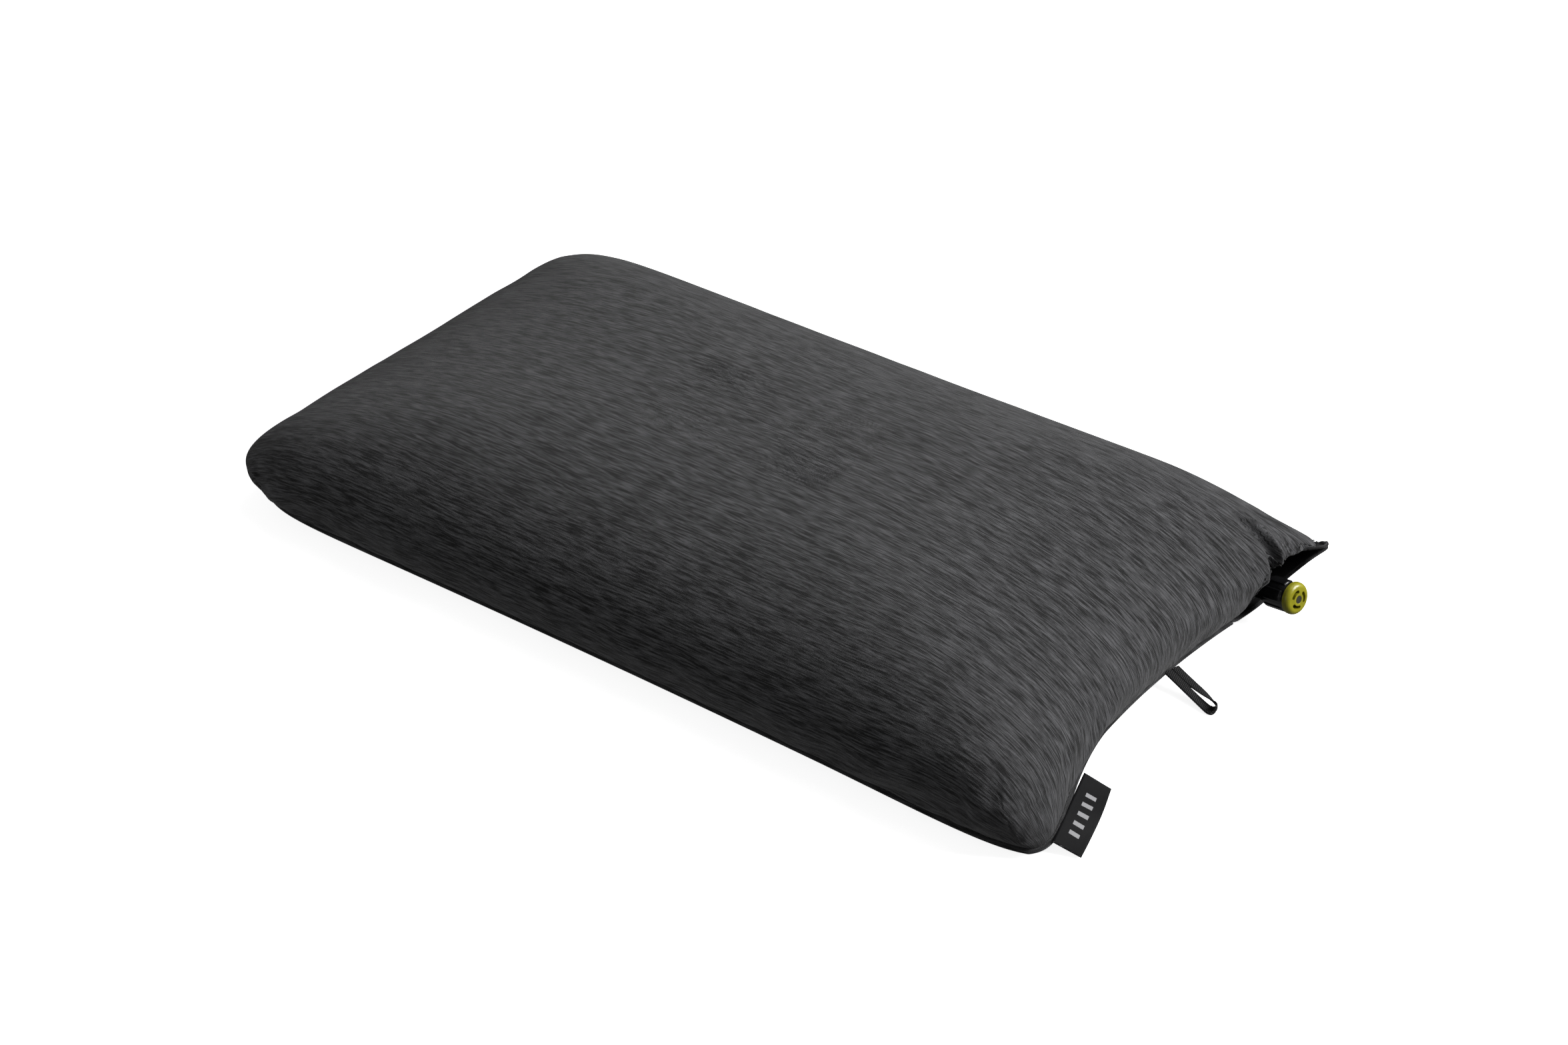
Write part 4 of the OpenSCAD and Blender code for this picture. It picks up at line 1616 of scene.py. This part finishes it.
@dataclass
class Core:
    """Airtight bladder in two halves and the foam block inside it.

    Args:
        form: the pillow's shared form.
        cover_t: thickness of the cover.
        film_t: thickness of the bladder's film.
        layer_gap: air between neighbouring layers.
        slack: extra room that lets the cover wrinkle.
        weld_h: height of the weld.
        film_cut: how far the bladder's valve side draws in.
        foam_cut: how far the foam's valve side draws in.
        corner_cut: how much further the corner draws in.
        dense: outline points for each of the CAD outline's.
        rings: rings over the crown.
        skirt: rings below the widest line.
    """

    form: PillowForm = field(default_factory=PillowForm)
    cover_t: float = 1 * MM
    film_t: float = 0.4 * MM
    layer_gap: float = 0.5 * MM
    slack: float = 3.0 * MM
    weld_h: float = 13.97 * MM
    film_cut: float = 9.27 * MM
    foam_cut: float = 31.76 * MM
    corner_cut: float = 17 * MM
    dense: int = 2
    rings: int = 16
    skirt: int = 6

    def rows(self, side: Side, edge: float, inset: float, cut: float, fade: int) -> Array:
        """Grid of one inner layer, drawn in at the valve.

        Args:
            side: which way the layer faces.
            edge: height of its edge.
            inset: distance inside the cover's surface.
            cut: how far its valve side draws in.
            fade: innermost rings over which the cut fades.
        Returns:
            The grid, from the middle outwards.
        """
        f, uv = self.form, self.form.outline(self.dense)
        last = f.curl_angle(edge)
        if side is Side.CROWN:
            grid = [f.lifted(f.plan(uv, r), f.dome(r, f.belly))
                    for r in np.sin(0.5 * math.pi * np.arange(1, self.rings + 1) / self.rings)]
            grid += [f.curl_point(uv, last * k / self.skirt) for k in range(1, self.skirt + 1)]
        else:
            grid = [f.curl_point(uv, math.pi / 2 * (1 - k / self.skirt) + last * k / self.skirt)
                    for k in range(self.skirt + 1)]
        g = np.stack(grid)
        deep = np.full(len(g), inset)
        if side is Side.CROWN:
            below = np.clip(np.arange(len(g)) - self.rings + 1, 0, self.skirt)
            deep += self.slack * (1 - ease(below / self.skirt))
        g = g - deep[:, None, None] * grid_normals(g, side)
        weight = f.port_at(uv) * cut + f.tip_at(uv, 3 * self.corner_cut) * self.corner_cut
        share = ease((np.arange(len(g)) + 1) / (fade + 1))
        out = unit(np.stack([g[..., 0] / f.half_l, (g[..., 1] / f.half_w) ** 3], -1))
        g[..., :2] -= (share[:, None] * weight[None])[..., None] * out
        return g

    def film(self, name: str, side: Side, node: str) -> bpy.types.Object:
        """Builds one half of the bladder.

        Args:
            name: piece name.
            side: which way it faces.
            node: CAD node that it replaces.
        Returns:
            The piece.
        """
        crown = side is Side.CROWN
        inset = self.cover_t + self.layer_gap
        rows = self.rows(side, self.weld_h, inset, self.film_cut, self.rings - 2 if crown else 0)
        pole = np.array([0, 0, self.form.height - inset - self.slack if crown else inset])
        n, count = rows.shape[1], rows.shape[0]
        faces = fan_faces(count * n, 0, n, not crown) + ring_faces(0, count, n, not crown)
        obj = make_mesh(name, np.vstack([rows.reshape(-1, 3), pole]), faces)
        modifier(obj, "SOLIDIFY", thickness=self.film_t, offset=-1.0)
        dress(obj, Body.PILLOW, CoatedFilm().build(), "coated_film", node)
        return obj

    def build(self) -> "Core":
        """Builds the bladder and the foam.

        Returns:
            The core.
        """
        top = self.film("bladder_upper_film", Side.CROWN, "bladder_top")
        low = self.film("bladder_lower_film", Side.UNDERSIDE, "bladder_bottom")
        inset = self.cover_t + self.film_t + 2 * self.layer_gap
        crown = self.rows(Side.CROWN, self.weld_h + 0.5 * MM, inset, self.foam_cut, self.rings - 3)
        under = self.rows(Side.UNDERSIDE, self.weld_h - 0.5 * MM, inset, self.foam_cut, 0)
        rows = np.concatenate([crown, under[::-1]])
        n, count = rows.shape[1], rows.shape[0]
        poles = np.array([[0, 0, self.form.height - inset - self.slack], [0, 0, inset]])
        faces = (fan_faces(count * n, 0, n) + ring_faces(0, count, n)
                 + fan_faces(count * n + 1, (count - 1) * n, n, True))
        foam = make_mesh("foam_block", np.vstack([rows.reshape(-1, 3), poles]), faces)
        dress(foam, Body.PILLOW, OpenFoam().build(), "open_cell_foam", "foam_core")
        return self


# ---------------------------------------------------------------- loop and label


@dataclass
class EndFrame:
    """Local frame on the valve end's seam: x out of the seam, y along it, z up.

    Args:
        joint: joint whose place and axis set the frame.
        pitch: angle that it points down, in radians.
    """

    joint: str
    pitch: float

    def matrix(self) -> Matrix:
        """Returns: the frame as a matrix."""
        spec = next(j for j in frame["joints"] if j["name"] == self.joint)
        across = -Vector(spec["axis"]).normalized()
        out = across.cross(Vector((0, 0, 1))).normalized()
        down = Matrix.Rotation(self.pitch, 4, "Y")
        base = Matrix((out, across, Vector((0, 0, 1)))).transposed().to_4x4()
        return Matrix.Translation(Vector(spec["pos_m"])) @ base @ down

    def place(self, local: Array) -> Array:
        """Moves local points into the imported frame.

        Args:
            local: points.
        Returns:
            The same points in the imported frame.
        """
        m = np.array(self.matrix())
        return local @ m[:3, :3].T + m[:3, 3]


@dataclass
class PullLoop:
    """Loop of narrow braided tape whose far leg turns on edge at the tip.

    Args:
        length: how far it stands out of the seam.
        tape_w: width of the tape.
        tape_t: thickness of the tape.
        slit: gap between the legs.
        drop: how far its tip comes down to the floor.
    """

    length: float = 37 * MM
    tape_w: float = 5.2 * MM
    tape_t: float = 1.1 * MM
    slit: float = 0.6 * MM
    drop: float = 7.55 * MM

    def build(self) -> "PullLoop":
        """Builds the loop.

        Returns:
            The loop.
        """
        side = (self.tape_w + 0.3 * self.slit) / 2
        tip = self.length - self.tape_w / 2
        near = [(0, -side, 0), (tip * 0.35, -side, 0), (tip * 0.7, -side, 0),
                (tip * 0.92, -side * 0.95, 0.1 * MM)]
        turn = [(tip, -side * 0.75, 0.7 * MM), (tip * 1.03, -side * 0.1, 1.6 * MM),
                (tip, side * 0.65, 1.9 * MM)]
        far = [(tip * 0.9, side * 1.05, 1.5 * MM), (tip * 0.65, side * 1.10, 0.7 * MM), (tip * 0.35, side, 0),
               (0, side, 0)]
        flat, edge = (0, 1, 0), (0, 0.1, 1)
        lie = [flat, flat, flat, (0, 1, 0.15), (0.2, 0.7, 0.7), edge, (0, -0.3, 1), (0, -0.6, 0.8),
               (0, -1, 0.3), (0, -1, 0), (0, -1, 0)]
        path, wide = np.split(smooth_path([(*a, *b) for a, b in zip(near + turn + far, lie)], 90), 2, axis=1)
        at = EndFrame("loop_swing", math.asin(min(0.9, self.drop / self.length)))
        line = at.place(path)
        m = np.array(at.matrix())[:3, :3]
        section = round_profile(1.09 * self.tape_w, 1.1 * self.tape_t, 14, 3.2)
        obj = sweep("pull_loop_tape", line, wide @ m.T, section)
        modifier(obj, "SUBSURF", levels=1, render_levels=1)
        dress(obj, Body.LOOP, Braid().build(), "braided_tape", "pull_loop")
        return self


@dataclass
class SideLabel:
    """Folded woven label with a bowed folded edge.

    Args:
        length: length along the seam.
        width: how far it stands out of the seam.
        ply: thickness of one ply.
        pitch_drop: height that it comes down over its width.
        bow: how far the folded edge bows out in its middle.
        wave: height of the label's slight wave.
    """

    length: float = 59 * MM
    width: float = 16 * MM
    ply: float = 0.5 * MM
    pitch_drop: float = 6.1 * MM
    bow: float = 0.9 * MM
    wave: float = 0.5 * MM

    def build(self) -> "SideLabel":
        """Builds the label.

        Returns:
            The label.
        """
        count, half, bend = 61, self.ply * 0.55, self.width - self.ply
        along = np.linspace(-0.5, 0.5, count)
        upper = [(x, half) for x in np.linspace(-self.ply, bend, 14)]
        fold = [(bend + self.ply * math.sin(a), half * math.cos(a))
                for a in np.linspace(0.2, math.pi - 0.2, 9)]
        lower = [(x, -half) for x in np.linspace(bend, -self.ply, 14)]
        outline = np.array(upper + fold + lower)
        k = len(outline)
        points, cloth = [], []
        for t in along:
            reach = 1 + self.bow / self.width * (1 - (2 * t) ** 2)
            lift = self.wave * math.sin(9 * t + 0.6) * ease(outline[:, 0] / self.width)
            x = outline[:, 0] * np.where(outline[:, 0] > 0, reach, 1)
            points.append(np.stack([x, np.full(k, t * self.length), outline[:, 1] + lift], -1))
            cloth.append(np.stack([np.full(k, t * self.length), outline[:, 0]], -1))
        at = EndFrame("label_swing", math.asin(self.pitch_drop / self.width))
        faces = ring_faces(0, count, k) + cap_faces(0, count, k)
        obj = make_mesh("side_label_woven", at.place(np.vstack(points)), faces, np.vstack(cloth))
        satin = WovenLabel(length=self.length, width=self.width)
        dress(obj, Body.LABEL, satin.build(), "label_satin", "side_label")
        return self


# ---------------------------------------------------------------- valve


@dataclass
class Valve:
    """Twist valve: a lathed face with arc slots, a grip with finger pads, and the CAD's inner parts.

    Args:
        knob_d: diameter of the face.
        grip_d: diameter of the grip between its pads.
        bore_d: bore of the grip.
        grip_l: length of the grip.
        front: front of the face, from the knob's widest plane.
        back: back of the face.
        slot_r: middle radius of the slots.
        slot_w: width of the slots.
        slot_deg: angle of each slot between its round ends.
        slots: number of slots.
        stem_d: diameter of the plunger's stem.
        head_d: diameter of the stem's head.
        head_t: thickness of the stem's head.
        run_gap: gap round the stem and its head.
        spigot: length of the face's ring inside the grip.
        rim_r: radius of the rounded rim.
        dome: fall of the face from its middle to the rim.
        pads: number of finger pads.
        pad_in: how far the pads stay inside the face's diameter.
        lead_in: narrowing of the grip's far end.
    """

    knob_d: float = 18.6 * MM
    grip_d: float = 16.5 * MM
    bore_d: float = 13.1 * MM
    grip_l: float = 17 * MM
    front: float = 3.2 * MM
    back: float = -1.6 * MM
    slot_r: float = 4.65 * MM
    slot_w: float = 2.0 * MM
    slot_deg: float = 60.0
    stem_d: float = 3.0 * MM
    head_d: float = 4.4 * MM
    head_t: float = 1.0 * MM
    run_gap: float = 0.05 * MM
    spigot: float = 1.8 * MM
    slots: int = 3
    rim_r: float = 2.9 * MM
    dome: float = 0.35 * MM
    pads: int = 5
    pad_in: float = 0.3 * MM
    lead_in: float = 0.35 * MM

    def matrix(self) -> Matrix:
        """Returns: the valve's own frame, z along its axis and x away from the top."""
        spec = next(j for j in frame["joints"] if j["name"] == "knob_turn")
        axis = Vector(spec["axis"]).normalized()
        side = Vector((0, 0, 1)).cross(axis).normalized()
        down = side.cross(axis).normalized()
        return Matrix.Translation(Vector(spec["pos_m"])) @ Matrix((down, side, axis)).transposed().to_4x4()

    def lathe(self, name: str, profile: Sequence[tuple[float, float]], count: int = 96) -> bpy.types.Object:
        """Turns a closed profile about the axis.

        Args:
            name: piece name.
            profile: radius and height pairs, in order.
            count: points around.
        Returns:
            The piece.
        """
        a = np.linspace(0, 2 * math.pi, count, endpoint=False)
        points = [np.column_stack([arc(r, a), np.full(count, z)]) for r, z in profile]
        faces = ring_faces(0, len(profile), count) + closing_faces(len(profile), count)
        return make_mesh(name, np.vstack(points), faces)

    def fix_normals(self, obj: bpy.types.Object) -> None:
        """Turns a closed piece's faces outwards.

        Args:
            obj: the piece.
        """
        bm = bmesh.new()
        bm.from_mesh(obj.data)
        bmesh.ops.remove_doubles(bm, verts=bm.verts, dist=1e-7)
        bmesh.ops.recalc_face_normals(bm, faces=bm.faces)
        bm.to_mesh(obj.data)
        bm.free()

    def cut(self, obj: bpy.types.Object, tool: bpy.types.Object) -> None:
        """Cuts a tool's shape out of a piece and removes the tool.

        Args:
            obj: the piece.
            tool: the cutting shape.
        """
        mod = modifier(obj, "BOOLEAN", operation="DIFFERENCE", solver="EXACT", object=tool)
        done = bpy.data.meshes.new_from_object(obj.evaluated_get(bpy.context.evaluated_depsgraph_get()))
        obj.modifiers.remove(mod)
        obj.data = done
        bpy.data.objects.remove(tool)

    def slot_tool(self, index: int) -> bpy.types.Object:
        """Cutting shape of one slot.

        Args:
            index: which slot.
        Returns:
            The tool.
        """
        turn = 360 / self.slots
        start = math.radians(turn * index + turn / 2)
        end = start + math.radians(self.slot_deg)
        half = self.slot_w / 2
        cap = np.linspace(0.2, math.pi - 0.2, 9)
        first, last = arc(self.slot_r, np.array([start, end]))
        ring = np.vstack([arc(self.slot_r + half, np.linspace(start, end, 24)), arc(half, end + cap, last),
                          arc(self.slot_r - half, np.linspace(end, start, 24)),
                          arc(half, start + math.pi + cap, first)])
        n = len(ring)
        low = np.column_stack([ring, np.full(n, self.back - 3 * MM)])
        high = np.column_stack([ring, np.full(n, self.front + 3 * MM)])
        faces = ring_faces(0, 2, n) + cap_faces(0, 2, n)
        tool = make_mesh(f"slot_tool_{index}", np.vstack([low, high]), faces, smooth=False)
        self.fix_normals(tool)
        return tool

    def build_face(self) -> None:
        """Builds the domed face with its slots."""
        r, top, back = self.knob_d / 2, self.front, self.back
        flat = r - self.rim_r
        hole = self.stem_d / 2 + self.run_gap
        head = self.head_d / 2 + self.run_gap
        seat = top - self.head_t - self.run_gap
        rim = [(flat + self.rim_r * math.sin(a), top - self.dome - self.rim_r * (1 - math.cos(a)))
               for a in np.linspace(0.05, math.pi / 2, 14)]
        crown = [(x, top - self.dome * (x / flat) ** 2)
                 for x in np.linspace(head + 0.15 * MM, flat - 0.1 * MM, 8)]
        spigot_r, spigot_in = self.bore_d / 2 - 0.02 * MM, self.bore_d / 2 - 1 * MM
        profile = [(hole, back), (hole, seat), (head, seat), (head, top - 0.12 * MM), *crown, *rim,
                   (r, back + 0.3 * MM), (r - 0.3 * MM, back), (spigot_r, back),
                   (spigot_r, back - self.spigot), (spigot_in, back - self.spigot), (spigot_in, back)]
        face = self.lathe("knob_face_disc", profile)
        self.fix_normals(face)
        for i in range(self.slots):
            self.cut(face, self.slot_tool(i))
        face.data.transform(self.matrix())
        face.data.polygons.foreach_set("use_smooth", [True] * len(face.data.polygons))
        modifier(face, "BEVEL", width=0.16 * MM, segments=2, limit_method="ANGLE",
                 angle_limit=math.radians(40))
        modifier(face, "WEIGHTED_NORMAL", keep_sharp=True)
        olive = Moulded("olive_plastic", (0.262, 0.246, 0.010), rough=0.30, grain=0.5 * MM, depth=0.01 * MM,
                        coat=0.15)
        dress(face, Body.KNOB, olive.build(), "olive_plastic", "knob_face")

    def build_grip(self) -> None:
        """Builds the grip sleeve with its raised pads, as one turned form with lobes."""
        z0, z1 = self.back - self.grip_l, self.back - 0.02 * MM
        around, rows = 240, 56
        a = np.linspace(0, 2 * math.pi, around, endpoint=False)
        z = np.linspace(z0, z1, rows)
        base, pad = self.grip_d / 2, self.knob_d / 2 - self.pad_in
        phase = (a * self.pads / (2 * math.pi) + 0.06) % 1.0
        lobe = ease((0.5 - np.abs(phase - 0.5) - 0.16) / 0.05)
        ends = ease((0.5 - np.abs((z - z0) / (z1 - z0) - 0.5) - 0.12) / 0.05)
        r = base + (pad - base) * ends[:, None] * lobe[None]
        r -= self.lead_in * (1 - ease((z - z0) / (0.8 * MM)))[:, None]
        outer = np.stack([r * np.cos(a), r * np.sin(a), np.broadcast_to(z[:, None], r.shape)], -1)
        inner = [np.column_stack([arc(self.bore_d / 2, a), np.full(around, end)]) for end in (z1, z0)]
        rings = np.concatenate([outer, inner])
        faces = ring_faces(0, len(rings), around) + closing_faces(len(rings), around)
        grip = make_mesh("knob_grip_sleeve", rings.reshape(-1, 3), faces)
        self.fix_normals(grip)
        grip.data.transform(self.matrix())
        modifier(grip, "BEVEL", width=0.12 * MM, segments=2, limit_method="ANGLE",
                 angle_limit=math.radians(50))
        black = Moulded("black_plastic", (0.0065, 0.0065, 0.0072), rough=0.16, coat=0.3)
        dress(grip, Body.KNOB, black.build(), "black_plastic", "knob_grip")

    def dress_nodes(self) -> None:
        """Gives the carried-over CAD nodes their finishes."""
        black = Moulded("barrel_plastic", (0.0065, 0.0065, 0.0072), rough=0.2, coat=0.2).build()
        grey = Moulded("grey_plastic", (0.030, 0.030, 0.022), rough=0.38).build()
        rubber = Moulded("seal_rubber", (0.028, 0.013, 0.010), rough=0.55, grain=0.2 * MM).build()
        ring = Moulded("ring_rubber", (0.020, 0.020, 0.020), rough=0.5, grain=0.2 * MM).build()
        finishes = {"valve_base": black, "valve_barrel": black, "plunger": grey, "seal_disc": rubber,
                    "barrel_o_ring": ring, "retaining_clip": SpringSteel().build()}
        for node, material in finishes.items():
            for slot in frame["nodes"][node].material_slots:
                slot.material = material
            LOG.info("%s keeps its CAD shape as %s", node, material.name)

    def build(self) -> "Valve":
        """Builds the valve.

        Returns:
            The valve.
        """
        self.build_face()
        self.build_grip()
        self.dress_nodes()
        return self


# ---------------------------------------------------------------- studio


@dataclass(frozen=True)
class SoftLight:
    """Rectangular light aimed at the pillow.

    Args:
        name: its name.
        place: its position.
        size: its width and height.
        power: its power in watts.
    """

    name: str
    place: Place
    size: tuple[float, float]
    power: float

    def build(self) -> None:
        """Makes the light."""
        data = bpy.data.lights.new(self.name, "AREA")
        data.shape = "RECTANGLE"
        data.size, data.size_y = self.size
        data.energy = self.power
        lamp = bpy.data.objects.new(self.name, data)
        lamp.location = self.place
        lamp.rotation_euler = (-Vector(self.place)).to_track_quat("-Z", "Y").to_euler()
        bpy.context.collection.objects.link(lamp)


@dataclass
class Studio:
    """Pale floor, soft lights and the camera.

    Args:
        lens: focal length in millimetres on a 36 mm sensor.
        eye: camera position.
        target: point that it looks at.
        lights: the lights.
        sky: strength of the even light from all round.
        paper: darkest and lightest tone of the floor.
        glow: strength of the floor's own light.
        floor_half: half the floor's side.
    """

    lens: float = 70.0
    eye: Place = (0.8801, -1.1597, 1.0026)
    target: Place = (-0.0068, 0.0272, 0.0)
    lights: tuple[SoftLight, ...] = (SoftLight("key_light", (1.65, 1.0, 1.21), (1.2, 1.2), 71.0),
                                     SoftLight("fill_light", (-0.6, -2.0, 0.45), (1.4, 0.8), 7.0),
                                     SoftLight("top_light", (0.5, 1.0, 2.4), (2.0, 2.0), 13.0))
    sky: float = 0.13
    paper: tuple[float, float] = (0.90, 0.93)
    glow: float = 0.86
    floor_half: float = 6.0

    def camera(self) -> None:
        """Makes the camera."""
        data = bpy.data.cameras.new("studio_camera")
        data.lens = self.lens
        data.sensor_width = 36.0
        cam = bpy.data.objects.new("studio_camera", data)
        cam.location = self.eye
        look = Vector(self.target) - Vector(self.eye)
        cam.rotation_euler = look.to_track_quat("-Z", "Y").to_euler()
        bpy.context.collection.objects.link(cam)
        bpy.context.scene.camera = cam

    def floor(self) -> None:
        """Makes the plain pale floor."""
        corners = np.array([(-1, -1, 0), (1, -1, 0), (1, 1, 0), (-1, 1, 0)]) * self.floor_half
        floor = make_mesh("studio_floor", corners, [(0, 1, 2, 3)], smooth=False)
        g = Graph("studio_paper")
        grain = g.noise(g.place(), 300.0, 2.0)
        dark, light = ((tone,) * 3 for tone in self.paper)
        white = g.mix(dark, light, grain)
        paper = g.finish(white, 0.9, Emission_Color=(1, 1, 1, 1), Emission_Strength=self.glow)
        floor.data.materials.append(paper)
        floor.visible_diffuse = False
        floor.visible_glossy = False

    def build(self) -> "Studio":
        """Builds the studio.

        Returns:
            The studio.
        """
        self.camera()
        self.floor()
        for light in self.lights:
            light.build()
        world = bpy.data.worlds.new("studio_world")
        world.use_nodes = True
        sky = world.node_tree.nodes["Background"].inputs
        sky["Color"].default_value = (1.0, 1.0, 1.0, 1.0)
        sky["Strength"].default_value = self.sky
        bpy.context.scene.world = world
        bpy.context.scene.view_settings.view_transform = "Standard"
        bpy.context.scene.view_settings.look = "None"
        return self


def main() -> None:
    """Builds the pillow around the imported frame."""
    logging.basicConfig(level=logging.INFO, format="%(name)s: %(message)s")
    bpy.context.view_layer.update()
    Studio().build()
    Core().build()
    Cover().build()
    PullLoop().build()
    SideLabel().build()
    Valve().build()


if __name__ == "__main__":
    main()
